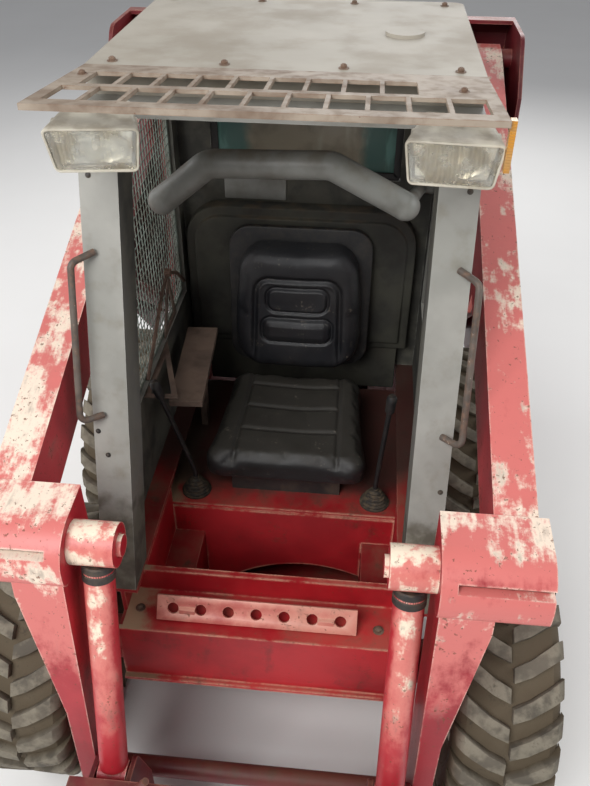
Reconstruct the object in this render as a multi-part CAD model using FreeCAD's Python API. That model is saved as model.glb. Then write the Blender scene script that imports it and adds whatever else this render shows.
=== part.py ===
import FreeCAD, Part
import math
import os

os.makedirs("parts", exist_ok=True)
V = FreeCAD.Vector

# Skid steer loader. Millimetres, front towards -Y, +X to the right of someone who faces its front, +Z up.
# The origin is on the ground, in the middle of the machine's length and width.

# Stock and clearances
plate = 12.0
sheet = 5.0
seat_gap = 0.3
run_gap = 0.05
over = 1.0

# Wheels
front_axle_y = -630.0
wheel_base = 960.0
tyre_radius = 385.0
tyre_width = 264.0
lug_height = 28.0
lug_thick = 40.0
lug_sweep = 62.0
lug_half_gap = 8.0
lugs_each_side = 17
shoulder = 30.0
shoulder_drop = 45.0
rim_radius = 215.0
rim_width = 190.0
rim_flange = 30.0
rim_well = 45.0
disc_thick = 20.0
hub_length = 60.0
hub_radius = 60.0
wheel_flange_radius = 95.0
wheel_flange_gap = 40.0
stub_radius = 36.0
stub_length = 66.0
axle_tube_radius = 62.0
wheel_gap = 99.0
axle_z = tyre_radius
carcass_radius = tyre_radius - lug_height
rear_axle_y = front_axle_y + wheel_base

# Chassis tub
tub_half = 392.0
front_overhang = 140.0
rear_overhang = 760.0
belly_drop = 195.0
nose_cut = 140.0
nose_cut_height = 218.0
tail_cut = 60.0
tail_cut_height = 90.0
rear_wall_rise = 102.0
case_width = 142.0
case_height = 310.0
rail_overhang = 44.0
rail_width = 91.0
tub_front_y = front_axle_y - front_overhang
tub_rear_y = rear_axle_y + rear_overhang
belly_z = axle_z - belly_drop
case_inner_x = tub_half - case_width
case_top_z = belly_z + case_height
post_outer_x = tub_half + rail_overhang
tyre_inner_x = tub_half + wheel_gap
tyre_outer_x = tyre_inner_x + tyre_width

# Hitch and rear door hinges
hitch_half = 60.0
hitch_reach = 55.0
hitch_hole_radius = 13.0
hitch_hole_back = 25.0
hinge_inset = 12.0
hinge_reach = 42.0
hinge_pin_radius = 7.0
hinge_barrel_radius = 13.0
hinge_boss_radius = 11.0
hinge_height = 44.0
hinge_leaf = 8.0
bracket_height = 16.0
low_hinge_rise = 140.0
high_hinge_drop = 60.0

# Front beam, foot well and seat platform
shelf_rise = 418.0
shelf_depth = 137.0
beam_height = 200.0
beam_lip = 14.0
sill_height = 90.0
sill_cap = 18.0
well_length = 337.0
well_floor_rise = 80.0
well_half = 350.0
toe_arch_x = 75.0
toe_arch_half = 265.0
toe_arch_height = 105.0
platform_back_gap = 110.0
bay_lead = 130.0
shelf_z = belly_z + shelf_rise
sill_y = tub_front_y + shelf_depth
sill_top_z = shelf_z + sill_height
well_rear_y = sill_y + well_length
well_floor_z = belly_z + well_floor_rise
platform_top_z = shelf_z + plate
platform_half = tub_half - plate - seat_gap
bay_front_y = rear_axle_y + bay_lead
tub_rear_z = sill_top_z + rear_wall_rise

# Step bar
step_length = 534.0
step_centre_x = -25.0
step_width = 68.0
step_thick = 10.0
step_tilt = 56.0
step_setback = 59.0
step_lift = 30.0
step_holes = 7
step_hole_radius = 15.0
step_end_margin = 51.0
step_foot_inset = 60.0
step_foot_half = 20.0

# Engine, its cover and the rear door
engine_gap = 20.0
engine_setback = 40.0
engine_rear_gap = 50.0
engine_headroom = 160.0
cover_height = 320.0
cover_slope = 60.0
louvre_length = 150.0
louvre_width = 14.0
louvre_pitch = 38.0
louvres = 7
pipe_radius = 26.0
pipe_bore = 22.0
pipe_inset_x = 150.0
pipe_setback = 140.0
pipe_rise = 60.0
pipe_reach = 120.0
pipe_bend = 60.0
door_gap = 10.0
door_depth = 50.0
door_inset = 26.0
door_rise = 60.0
door_drop = 70.0
door_rim = 25.0
grille_half = 260.0
grille_slots = 9
grille_bar = 28.0
grille_low_margin = 310.0
grille_top_margin = 70.0
cover_top_z = tub_rear_z + cover_height
door_front_y = tub_rear_y + door_gap
rear_reach = door_front_y + door_depth

# Cab
cab_height = 1152.0
cab_setback = 20.0
cab_wall = 30.0
post_width = 88.0
post_depth = 115.0
post_lead = 67.0
post_lean = 351.0
window_sill = 302.0
window_head = 90.0
window_front_margin = 40.0
window_rear_margin = 90.0
rear_window_half = 300.0
rear_window_drop = 445.0
header_height = 18.0
post_foot_y = tub_front_y + post_lead
post_head_y = post_foot_y + post_lean
post_top_z = sill_top_z + cab_height
cab_back_y = bay_front_y - cab_setback
cab_inner_x = post_outer_x - cab_wall
window_low_z = sill_top_z + window_sill
window_high_z = post_top_z - window_head
screen_thick = 6.0
screen_inset = 12.0
screen_edge = 12.0
screen_bar = 8.0
screen_columns = 10
screen_rows = 9

# Roof and visor
roof_height = 64.0
roof_inset = 2.0
roof_setback = 98.0
roof_overhang = 30.0
roof_corner = 30.0
cap_x = 266.0
cap_setback = 284.0
cap_radius = 48.0
cap_height = 8.0
visor_reach = 377.0
visor_rise = 32.0
visor_thick = 8.0
visor_lip = 4.0
visor_edge = 26.0
visor_bar = 9.0
visor_front_margin = 42.0
visor_rib = 24.0
visor_rear_margin = 79.0
front_slots = 11
rear_slots = 9
rear_row_margin = 52.0
marker_thick = 11.0
marker_width = 18.0
marker_height = 93.0
roof_half = post_outer_x - roof_inset
roof_front_y = post_head_y + roof_setback
roof_back_y = cab_back_y + roof_overhang
roof_z = post_top_z + roof_height

# Work lamps: side, inset and turn of each
lamp_half_width = 92.0
lamp_half_height = 46.0
lamp_rim = 30.0
lamp_depth = 130.0
lamp_corner = 12.0
lamp_taper = 0.72
lamp_tilt = 10.0
lens_thick = 9.0
lens_inset = 7.0
lamp_drop = 4.0
lamp_lead = 226.0
lamp_bracket_half = 20.0
lamp_bracket_inset = 50.0
lamp_places = ((-1, 111.0, 8.0), (1, 86.0, -4.0))

# Grab handles
handle_radius = 8.0
handle_bend = 20.0
handle_stand = 50.0
handle_low_rise = 482.0
handle_length = 380.0
handle_root_inset = 28.0
handle_out = 14.0
handle_jog = 8.0

# Seat
seat_lead = 21.0
seat_half = 250.0
seat_rear_half = 220.0
seat_length = 490.0
seat_base_height = 80.0
seat_base_half = 170.0
seat_base_front = 60.0
seat_base_back = 40.0
cushion_height = 90.0
cushion_corner = 60.0
back_height = 460.0
back_half = 220.0
back_top_half = 184.0
back_corner = 90.0
back_thick = 105.0
back_lap = 60.0
back_lean = 60.0
seat_front_y = well_rear_y + seat_lead
seat_back_y = seat_front_y + seat_length
cushion_low_z = platform_top_z + seat_base_height
cushion_top_z = cushion_low_z + cushion_height
back_top_z = cushion_top_z + back_height

# Armrest panel and levers
armrest_width = 98.0
armrest_length = 400.0
armrest_thick = 20.0
armrest_rise = 150.0
armrest_lead = 60.0
armrest_turn = 3.5
armrest_leg = 20.0
armrest_leg_setback = 300.0
lever_setback = 62.0
lever_lean = 15.0
lever_height = 390.0
lever_tops = ((-1, 362.0), (1, 301.0))
lever_clear = 31.0
lever_radius = 8.0
boot_radius = 38.0
boot_top_radius = 20.0
boot_height = 30.0
knob_radius = 15.0
knob_height = 46.0

# Lap bar: corner places as (across, drop from the post tops)
lap_bar_radius = 37.0
lap_arm_radius = 19.0
lap_pin_radius = 14.0
lap_bend = 60.0
lap_pivot_setback = 68.0
lap_pivot_drop = 450.0
lap_reach = 422.0
lap_side_gap = 24.0
lap_left_corner = (-217.0, 230.0)
lap_right_corner = (104.0, 222.0)
lap_left_end = (-348.0, 338.0)
lap_right_end = (300.0, 324.0)
lap_x = cab_inner_x - lap_side_gap - lap_arm_radius
lap_pivot_y = cab_back_y - lap_pivot_setback
lap_pivot_z = post_top_z - lap_pivot_drop

# Boom
arm_gap = 74.0
arm_width = 95.0
arm_slope = 20.0
arm_depth = 165.0
arm_rise = 40.0
arm_tail = 75.0
arm_tail_corner = 40.0
boom_pin_radius = 30.0
boom_boss_radius = 80.0
knee_lead = 20.0
knee_reach = 185.0
knee_height = 145.0
knee_step = 7.0
knee_in = 115.0
knee_out = 20.0
knee_round = 95.0
knee_heel = 30.0
slot_drop = 43.0
slot_width = 18.0
slot_depth = 24.0
slot_inner_margin = 35.0
leg_step = 5.0
leg_mid_clearance = 39.0
leg_foot_clearance = 51.0
leg_mid_rise = 215.0
leg_foot_front = 55.0
leg_foot_back = 105.0
leg_foot_drop = 45.0
arm_inner_x = post_outer_x + arm_gap
arm_outer_x = arm_inner_x + arm_width
cross_tube_radius = 28.0
cross_tube_setback = 85.0
cross_tube_drop = 25.0

# Rear towers
tower_gap = 40.0
tower_length = 480.0
tower_height = 1230.0
tower_drop = 240.0
tower_inner_gap = 18.0
tower_outer_gap = 35.0
tower_tyre_gap = 60.0
tower_pin_back = 180.0
tower_pin_drop = 100.0
tower_shoulder = 150.0
tower_corner = 60.0
tower_cap = 52.0
tower_bridge_length = 120.0
tower_bridge_height = 220.0
pin_cap = 14.0
lift_base_back = 140.0
lift_base_rise = 80.0
tower_inner_x = arm_inner_x - tower_inner_gap - plate
tower_outer_x = arm_outer_x + tower_outer_gap
tower_front_y = cab_back_y + tower_gap
tower_back_y = tower_front_y + tower_length
tower_foot_z = tub_rear_z - tower_drop
tower_top_z = tower_foot_z + tower_height
boom_pivot_y = tower_back_y - tower_pin_back
boom_pivot_z = tower_top_z - tower_pin_drop
lift_base_y = tower_back_y - lift_base_back
lift_base_z = tower_foot_z + lift_base_rise

# Knees and legs, from the boom's slope
slope_run = math.tan(math.radians(arm_slope))
arm_drop = arm_depth / math.cos(math.radians(arm_slope))
knee_back_y = tub_front_y - knee_lead
knee_nose_y = knee_back_y - knee_reach
knee_top_z = boom_pivot_z + arm_rise + slope_run * (knee_back_y - boom_pivot_y) + knee_step
knee_bottom_z = knee_top_z - knee_height
knee_inner_x = arm_inner_x - knee_in
knee_outer_x = arm_outer_x + knee_out
leg_inner_x = knee_inner_x + leg_step

# Coupler and tilt cylinders
coupler_lead = 230.0
coupler_height = 220.0
coupler_pin_radius = 22.0
coupler_reach = 160.0
coupler_half = 430.0
coupler_rise = 280.0
coupler_drop = 80.0
coupler_lean = 20.0
coupler_plate = 18.0
coupler_plate_inner_x = 200.0
coupler_tube = 50.0
lock_hole_x = 340.0
lock_hole_rise = 50.0
lock_hole_radius = 17.0
lock_lever_x = 250.0
lock_lever_radius = 9.0
lock_lever_rise = 60.0
ear_lead = 60.0
ear_rise = 205.0
ear_pin_radius = 20.0
hook_half = 40.0
hook_gap = 5.0
tilt_in = 53.0
tilt_eye_setback = 95.0
tilt_eye_drop = 80.0
tilt_barrel_radius = 35.0
tilt_rod_radius = 19.0
boss_radius = 50.0
boss_reach = 50.0
nub_radius = 25.0
nub_length = 10.0
gland_gap = 12.0
coupler_y = tub_front_y - coupler_lead
coupler_z = coupler_height
coupler_front_y = coupler_y - coupler_reach
coupler_top_z = coupler_z + coupler_rise
coupler_bottom_z = coupler_z - coupler_drop
lock_hole_z = coupler_bottom_z + lock_hole_rise
ear_y = coupler_y - ear_lead
ear_z = coupler_z + ear_rise
tilt_x = knee_inner_x - tilt_in
tilt_top_y = knee_back_y - tilt_eye_setback
tilt_top_z = knee_top_z - tilt_eye_drop
cross_tube_y = coupler_y + cross_tube_setback
cross_tube_z = coupler_z - cross_tube_drop

# Lift cylinders
lift_eye_lead = 730.0
lift_eye_drop = 83.0
lift_barrel_radius = 30.0
lift_rod_radius = 20.0
lift_eye_radius = 34.0
lift_base_radius = 38.0
lift_pin_radius = 22.0
lift_gland_gap = 20.0
lug_plate = 12.0
lug_front = 90.0
lug_back = 110.0
lug_tip = 30.0
lug_below = 40.0
barrel_start = 34.0
rod_start = 90.0
lift_eye_y = boom_pivot_y - lift_eye_lead
lift_eye_z = boom_pivot_z + arm_rise - slope_run * lift_eye_lead - arm_drop - lift_eye_drop


def box(x, y, z):
    """Box from (low, high) pairs along X, Y and Z."""
    return Part.makeBox(x[1] - x[0], y[1] - y[0], z[1] - z[0], V(x[0], y[0], z[0]))


def turn_at(before, corner, after, radius):
    """Start, middle and end of the arc of a radius that rounds a corner."""
    to_before = (before - corner).normalize()
    to_after = (after - corner).normalize()
    half_turn = (math.pi - to_before.getAngle(to_after)) / 2
    reach = radius * math.tan(half_turn)
    inward = (to_before + to_after).normalize()
    middle = corner + inward * (radius / math.cos(half_turn) - radius)
    return corner + to_before * reach, middle, corner + to_after * reach


def outline(points, place):
    """Closed face through (a, b) points; a third number rounds that corner to its radius."""
    corners = [place(point[0], point[1]) for point in points]
    stops = []
    edges = []
    for index, point in enumerate(points):
        corner = corners[index]
        if len(point) > 2:
            arc = turn_at(corners[index - 1], corner, corners[(index + 1) % len(corners)], point[2])
            edges.append(Part.Arc(*arc).toShape())
            stops.append((arc[0], arc[2]))
        else:
            stops.append((corner, corner))
    for index, (_, leave) in enumerate(stops):
        enter = stops[(index + 1) % len(stops)][0]
        edges.append(Part.LineSegment(leave, enter).toShape())
    return Part.Face(Part.Wire(Part.__sortEdges__(edges)))


def prism_x(yz, low, high):
    """Extrudes an outline of (y, z) points from x = low to x = high."""
    return outline(yz, lambda y, z: V(low, y, z)).extrude(V(high - low, 0, 0))


def prism_y(xz, low, high):
    """Extrudes an outline of (x, z) points from y = low to y = high."""
    return outline(xz, lambda x, z: V(x, low, z)).extrude(V(0, high - low, 0))


def prism_z(xy, low, high):
    """Extrudes an outline of (x, y) points from z = low to z = high."""
    return outline(xy, lambda x, y: V(x, y, low)).extrude(V(0, 0, high - low))


def rod(start, end, radius):
    """Round bar between two points."""
    line = V(*end) - V(*start)
    return Part.makeCylinder(radius, line.Length, V(*start), line)


def bar_x(y, z, low, high, radius):
    """Round bar along X."""
    return rod((low, y, z), (high, y, z), radius)


def mirrored(shape):
    """The same piece on the other side of the machine."""
    return shape.mirror(V(0, 0, 0), V(1, 0, 0))


def fuse(first, *others):
    """Joins shapes that touch into one solid."""
    return first.multiFuse(list(others)).removeSplitter()


def save(node, *shapes):
    """Writes one node from its solids."""
    solids = [solid for shape in shapes for solid in shape.Solids]
    Part.makeCompound(solids).exportStep("parts/" + node + ".step")


def bent_bar(points, radius, bend):
    """Round bar through the points, with each corner bent to the radius bend."""
    corners = [V(*point) for point in points]
    edges = []
    start = corners[0]
    for before, corner, after in zip(corners, corners[1:], corners[2:]):
        enter, middle, leave = turn_at(before, corner, after, bend)
        edges.append(Part.LineSegment(start, enter).toShape())
        edges.append(Part.Arc(enter, middle, leave).toShape())
        start = leave
    edges.append(Part.LineSegment(start, corners[-1]).toShape())
    section = Part.Wire(Part.makeCircle(radius, corners[0], corners[1] - corners[0]))
    return Part.Wire(edges).makePipeShell([section], True, False)


def facet_ring(profile, sides):
    """Ring of flat facets: a closed outline of (x, radius) points stepped about the X axis."""
    turns = [2 * math.pi * index / sides for index in range(sides)]
    rings = [[V(x, r * math.sin(turn), r * math.cos(turn)) for x, r in profile] for turn in turns]
    faces = []
    for here, there in zip(rings, rings[1:] + rings[:1]):
        for index in range(len(profile)):
            after = (index + 1) % len(profile)
            corners = [here[index], here[after], there[after], there[index]]
            faces.append(Part.Face(Part.makePolygon(corners + corners[:1])))
    skin = Part.makeCompound(faces)
    skin.sewShape()
    return Part.Solid(skin.Shells[0])


# Tyres and rims
def tyre_shape():
    """Tyre on the +X side with its middle at x = 0: a carcass of flat facets and two rows of slanted lugs."""
    half = tyre_width / 2
    sides = 2 * lugs_each_side
    bore = rim_radius / math.cos(math.pi / sides)
    wall_radius = carcass_radius - shoulder_drop
    profile = [
        (-rim_width / 2, bore),
        (-half, wall_radius),
        (-half + shoulder, carcass_radius),
        (half - shoulder, carcass_radius),
        (half, wall_radius),
        (rim_width / 2, bore),
    ]
    carcass = facet_ring(profile, sides)
    foot = carcass_radius * math.cos(math.pi / sides) - sheet
    top = math.sqrt(tyre_radius ** 2 - lug_sweep ** 2)
    bend_x = half - shoulder
    bend_sweep = lug_sweep * 0.4
    lugs = []
    for index in range(lugs_each_side):
        for side, phase in ((1, 0.0), (-1, 0.5)):
            plan = [
                (side * lug_half_gap, -lug_sweep),
                (side * bend_x, bend_sweep),
                (side * half, bend_sweep),
                (side * half, bend_sweep + lug_thick),
                (side * lug_half_gap, -lug_sweep + lug_thick),
            ]
            lug = prism_z(plan, foot, top)
            corner = [(side * (half + over), foot), (side * (half + over), tyre_radius), (side * bend_x, tyre_radius)]
            lug = lug.cut(prism_y(corner, -tyre_radius, tyre_radius))
            lug.rotate(V(0, 0, 0), V(1, 0, 0), (index + phase) * 360.0 / lugs_each_side)
            lugs.append(lug)
    tyre = carcass.multiFuse(lugs)
    tyre.rotate(V(0, 0, 0), V(1, 0, 0), 180 - math.degrees(math.atan2(lug_sweep, top)))
    return tyre


def rim_shape():
    """Rim on the +X side with its middle at x = 0, its disc and its hub."""
    half = rim_width / 2
    profile = [
        (-half, rim_radius - seat_gap),
        (half, rim_radius - seat_gap),
        (half, rim_radius - rim_flange),
        (disc_thick, rim_radius - rim_well),
        (disc_thick, hub_radius),
        (hub_length, hub_radius),
        (hub_length, stub_radius + run_gap),
        (0, stub_radius + run_gap),
        (0, rim_radius - rim_well),
        (-half, rim_radius - rim_flange),
    ]
    return outline(profile, lambda x, r: V(x, 0, r)).revolve(V(0, 0, 0), V(1, 0, 0), 360)


def place_wheel(shape, side, y):
    """Moves a wheel piece to its axle, mirrored on the left."""
    placed = shape.copy() if side > 0 else mirrored(shape)
    placed.translate(V(side * (tyre_inner_x + tyre_outer_x) / 2, y, axle_z))
    return placed


tyre = tyre_shape()
rim = rim_shape()
for corner, side, y in (
    ("front_left", -1, front_axle_y),
    ("front_right", 1, front_axle_y),
    ("rear_left", -1, rear_axle_y),
    ("rear_right", 1, rear_axle_y),
):
    save("tyre_" + corner, place_wheel(tyre, side, y))
    save("rim_" + corner, place_wheel(rim, side, y))

# Axle housings: a tube out of the chain case, its flange and the stub that carries the wheel
wheel_mid_x = (tyre_inner_x + tyre_outer_x) / 2
axles = []
for y in (front_axle_y, rear_axle_y):
    housing = fuse(
        bar_x(y, axle_z, tub_half, wheel_mid_x - wheel_flange_gap, axle_tube_radius),
        bar_x(y, axle_z, wheel_mid_x - wheel_flange_gap, wheel_mid_x - seat_gap, wheel_flange_radius),
        bar_x(y, axle_z, wheel_mid_x - seat_gap, wheel_mid_x + stub_length, stub_radius),
    )
    axles += [housing, mirrored(housing)]
save("axle_housings", *axles)

# Chassis tub: two side walls with a belly plate, the chain cases, the cab's rails, hitch and door hinges
tub_wall_top_z = sill_top_z - plate
side_outline = [
    (tub_front_y + plate, belly_z + nose_cut_height),
    (tub_front_y + nose_cut, belly_z),
    (tub_rear_y - tail_cut, belly_z),
    (tub_rear_y, belly_z + tail_cut_height),
    (tub_rear_y, tub_rear_z),
    (bay_front_y, tub_rear_z),
    (bay_front_y, tub_wall_top_z),
    (post_foot_y, tub_wall_top_z),
    (post_foot_y, shelf_z - seat_gap),
    (tub_front_y + plate, shelf_z - seat_gap),
]
through_y = (tub_front_y - over, tub_rear_y + over)
tub = prism_x(side_outline, -tub_half, tub_half)
tub = tub.cut(box((-tub_half + plate, tub_half - plate), through_y, (case_top_z, tub_rear_z + over)))
tub = tub.cut(box((-case_inner_x, case_inner_x), through_y, (belly_z + plate, case_top_z + over)))
rail_y = (post_foot_y, bay_front_y - seat_gap)
rail = box((post_outer_x - rail_width, post_outer_x), rail_y, (tub_wall_top_z, sill_top_z))
hitch_hole_y = tub_rear_y + hitch_hole_back
hitch = box((-hitch_half, hitch_half), (tub_rear_y - tail_cut - hitch_reach, tub_rear_y + hitch_reach),
            (belly_z, belly_z + plate))
hitch = hitch.cut(rod((0, hitch_hole_y, belly_z - over), (0, hitch_hole_y, belly_z + plate + over),
                      hitch_hole_radius))
hinge_x = tub_half - hinge_inset
hinge_y = door_front_y + hinge_reach - door_gap
hinge_heights = (belly_z + low_hinge_rise, tub_rear_z - high_hinge_drop)
brackets = []
for low_z in hinge_heights:
    under_z = low_z - bracket_height
    brackets.append(box((-tub_half, -hinge_x + hinge_boss_radius), (tub_rear_y - tail_cut, hinge_y), (under_z, low_z)))
    brackets.append(rod((-hinge_x, hinge_y, under_z), (-hinge_x, hinge_y, low_z), hinge_boss_radius))
    brackets.append(rod((-hinge_x, hinge_y, low_z), (-hinge_x, hinge_y, low_z + hinge_height), hinge_pin_radius))
save("chassis_tub", fuse(tub, rail, mirrored(rail), hitch, *brackets))

# Front beam: the cross plate with its lips, the shelf, the sill of the foot well and the sill's cap
beam_bottom_z = shelf_z - beam_height
beam_x = (-tub_half, tub_half)
shelf_x = (-platform_half, platform_half)
sill_half = post_outer_x - rail_width - seat_gap
beam = fuse(
    box(beam_x, (tub_front_y, tub_front_y + plate), (beam_bottom_z, platform_top_z)),
    box(shelf_x, (tub_front_y, sill_y + plate), (shelf_z, platform_top_z)),
    box(shelf_x, (sill_y, sill_y + plate), (shelf_z, tub_wall_top_z - seat_gap)),
    box((-sill_half, sill_half), (sill_y, sill_y + sill_cap), (shelf_z, sill_top_z)),
    box(beam_x, (tub_front_y - beam_lip, tub_front_y), (beam_bottom_z, beam_bottom_z + plate)),
)
save("front_beam", beam)

# Step bar: a tilted plate with a row of round holes, on two feet
step_y = tub_front_y + step_setback
step_z = shelf_z + plate + step_lift
step = box((-step_length / 2, step_length / 2), (-step_width / 2, step_width / 2), (0, step_thick))
step_pitch = (step_length - 2 * step_end_margin) / (step_holes - 1)
for index in range(step_holes):
    hole_x = step_end_margin - step_length / 2 + index * step_pitch
    step = step.cut(rod((hole_x, 0, -over), (hole_x, 0, step_thick + over), step_hole_radius))
step.rotate(V(0, 0, 0), V(1, 0, 0), step_tilt)
step.translate(V(step_centre_x, step_y, step_z))
step_feet = []
for side in (-1, 1):
    foot_x = step_centre_x + side * (step_length / 2 - step_foot_inset)
    step_feet.append(box((foot_x - step_foot_half, foot_x + step_foot_half),
                         (step_y - step_foot_half, step_y + plate), (shelf_z + plate, step_z)))
save("step_bar", fuse(step, *step_feet))

# Foot well: a floor between the chain cases, side plates on them and a rear wall with an arch for the toes
floor_half = case_inner_x - seat_gap
well_side_z = case_top_z + seat_gap
well_side_top_z = tub_wall_top_z - seat_gap
well_y = (sill_y + sill_cap + seat_gap, well_rear_y)
well_wall_y = (well_rear_y - sheet, well_rear_y)
well = fuse(
    box((-floor_half, floor_half), well_y, (well_floor_z, well_floor_z + sheet)),
    box((-floor_half, floor_half), well_wall_y, (well_floor_z, well_side_z + over)),
    box((-well_half, well_half), well_wall_y, (well_side_z, shelf_z)),
    box((-well_half, -well_half + sheet), well_y, (well_side_z, well_side_top_z)),
    box((well_half - sheet, well_half), well_y, (well_side_z, well_side_top_z)),
)
arch_radius = (toe_arch_half ** 2 + toe_arch_height ** 2) / (2 * toe_arch_height)
arch_z = well_floor_z + sheet + toe_arch_height - arch_radius
arch = rod((toe_arch_x, well_wall_y[0] - over, arch_z), (toe_arch_x, well_wall_y[1] + over, arch_z), arch_radius)
arch = arch.common(box((-tub_half, tub_half), (tub_front_y, tub_rear_y), (well_floor_z + sheet, shelf_z)))
save("foot_well", well.cut(arch))

# Seat platform: a top plate on two skirts that stand on the chain cases
platform_y = (well_rear_y + seat_gap, bay_front_y - platform_back_gap)
platform = fuse(
    box((-platform_half, platform_half), platform_y, (shelf_z, platform_top_z)),
    box((-platform_half, -platform_half + plate), platform_y, (well_side_z, platform_top_z)),
    box((platform_half - plate, platform_half), platform_y, (well_side_z, platform_top_z)),
)
save("seat_platform", platform)

# Rear towers: an inner and an outer plate on each side, a back plate, a bridge to the tub and the two pins
tower_outline = [
    (tower_front_y, axle_z + tyre_radius + tower_tyre_gap),
    (tower_front_y + tower_bridge_length / 3, tower_top_z - tower_shoulder),
    (boom_pivot_y - boom_boss_radius - tower_corner, tower_top_z, tower_corner),
    (tower_back_y - tower_corner, tower_top_z),
    (tower_back_y, tower_top_z - tower_corner),
    (tower_back_y, tower_foot_z),
    (lift_base_y - lift_base_rise, tower_foot_z),
]
tower_x = (tower_inner_x, tower_outer_x + plate)
tower_back = box(tower_x, (tower_back_y - plate, tower_back_y), (tower_foot_z, tower_top_z - tower_corner))
cap_outline = [
    (tower_back_y - tower_corner - tower_cap, tower_top_z),
    (tower_back_y - tower_corner, tower_top_z),
    (tower_back_y, tower_top_z - tower_corner),
    (tower_back_y, tower_top_z - tower_corner - plate),
    (tower_back_y - tower_corner, tower_top_z - plate),
    (tower_back_y - tower_corner - tower_cap, tower_top_z - plate),
]
bridge = box((tub_half + seat_gap, tower_inner_x), (tower_back_y - tower_bridge_length, tower_back_y),
             (tower_foot_z, tower_foot_z + tower_bridge_height))
tower = fuse(
    prism_x(tower_outline, tower_inner_x, tower_inner_x + plate),
    prism_x(tower_outline, tower_outer_x, tower_outer_x + plate),
    tower_back,
    prism_x(cap_outline, *tower_x),
    bridge,
    bar_x(boom_pivot_y, boom_pivot_z, tower_inner_x, tower_outer_x + plate + pin_cap, boom_pin_radius),
    bar_x(lift_base_y, lift_base_z, tower_inner_x, tower_outer_x + plate + pin_cap, lift_pin_radius),
)
save("rear_towers", tower, mirrored(tower))

# Engine bay: the engine as a plain block, and its cover with louvres and the exhaust pipe
engine_half = case_inner_x - engine_gap
engine_y = (bay_front_y + engine_setback, tub_rear_y - engine_rear_gap)
save("engine_block", box((-engine_half, engine_half), engine_y,
                         (belly_z + plate + seat_gap, cover_top_z - engine_headroom)))
cover_front_y = bay_front_y + seat_gap
cover_low_z = tub_rear_z + seat_gap
cover_outline = [
    (cover_front_y, cover_low_z),
    (tub_rear_y, cover_low_z),
    (tub_rear_y, cover_top_z - cover_slope),
    (tub_rear_y - cover_slope, cover_top_z),
    (cover_front_y, cover_top_z),
]
cover = prism_x(cover_outline, -tub_half, tub_half)
cover = cover.cut(box((-tub_half + sheet, tub_half - sheet), (cover_front_y + sheet, tub_rear_y + over),
                      (tub_rear_z - over, cover_top_z - sheet)))
pipe_x = -tub_half + pipe_inset_x
pipe_y = tub_rear_y - pipe_setback
for side in (-1, 1):
    louvre_x = side * (case_inner_x - louvre_length / 2)
    for index in range(louvres):
        louvre_y = cover_front_y + louvre_length + index * louvre_pitch
        cover = cover.cut(box((louvre_x - louvre_length / 2, louvre_x + louvre_length / 2),
                              (louvre_y, louvre_y + louvre_width), (cover_top_z - sheet - over, cover_top_z + over)))
pipe_route = [(pipe_x, pipe_y, cover_top_z - sheet), (pipe_x, pipe_y, cover_top_z + pipe_rise),
              (pipe_x, pipe_y + pipe_reach, cover_top_z + pipe_rise + pipe_bend)]
pipe = bent_bar(pipe_route, pipe_radius, pipe_bend)
pipe_end = V(*pipe_route[2])
pipe_way = (pipe_end - V(*pipe_route[1])).normalize()
pipe = pipe.cut(rod(pipe_end - pipe_way * pipe_bend, pipe_end + pipe_way, pipe_bore))
save("engine_cover", fuse(cover, pipe))

# Rear door: a pressed panel with a slotted grille, hinged at its left edge
door_half = tub_half - door_inset
door_low_z = belly_z + door_rise
door_high_z = cover_top_z - door_drop
door = box((-door_half, door_half), (door_front_y, rear_reach), (door_low_z, door_high_z))
door = door.cut(box((-door_half + door_rim, door_half - door_rim), (door_front_y - over, rear_reach - door_rim),
                    (door_low_z + door_rim, door_high_z - door_rim)))
grille_low_z = door_low_z + grille_low_margin
grille_pitch = (door_high_z - grille_top_margin - grille_low_z + grille_bar) / grille_slots
for index in range(grille_slots):
    slot_low_z = grille_low_z + index * grille_pitch
    door = door.cut(box((-grille_half, grille_half), (door_front_y - over, rear_reach + over),
                        (slot_low_z, slot_low_z + grille_pitch - grille_bar)))
knuckles = []
for low_z in hinge_heights:
    knuckle_z = (low_z + seat_gap, low_z + hinge_height)
    barrel = rod((-hinge_x, hinge_y, knuckle_z[0]), (-hinge_x, hinge_y, knuckle_z[1]), hinge_barrel_radius)
    leaf = box((-hinge_x, -door_half + hinge_leaf / 2), (hinge_y, hinge_y + hinge_leaf), knuckle_z)
    knuckles.append(fuse(barrel, leaf))
door = fuse(door, *knuckles)
door = door.cut(rod((-hinge_x, hinge_y, door_low_z), (-hinge_x, hinge_y, door_high_z), hinge_pin_radius + run_gap))
save("rear_door", door)


# Cab: two leaning front posts, a header, side and rear walls with open windows
def post_y(z):
    """Front face of the front post at a height."""
    return post_foot_y + post_lean * (z - sill_top_z) / cab_height


cab_low_z = sill_top_z + seat_gap
post_outline = [
    (post_y(cab_low_z), cab_low_z),
    (post_y(cab_low_z) + post_depth, cab_low_z),
    (post_y(post_top_z) + post_depth, post_top_z),
    (post_y(post_top_z), post_top_z),
]
post = prism_x(post_outline, post_outer_x - post_width, post_outer_x)
wall_outline = [
    (post_y(cab_low_z) + post_depth - over, cab_low_z),
    (cab_back_y, cab_low_z),
    (cab_back_y, post_top_z),
    (post_y(post_top_z) + post_depth - over, post_top_z),
]


def window_outline(gap):
    """Side window's outline, smaller all round by a gap."""
    low_z = window_low_z + gap
    high_z = window_high_z - gap
    rear_y = cab_back_y - window_rear_margin - gap
    front = post_depth + window_front_margin + gap
    return [(post_y(low_z) + front, low_z), (rear_y, low_z), (rear_y, high_z), (post_y(high_z) + front, high_z)]


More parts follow.
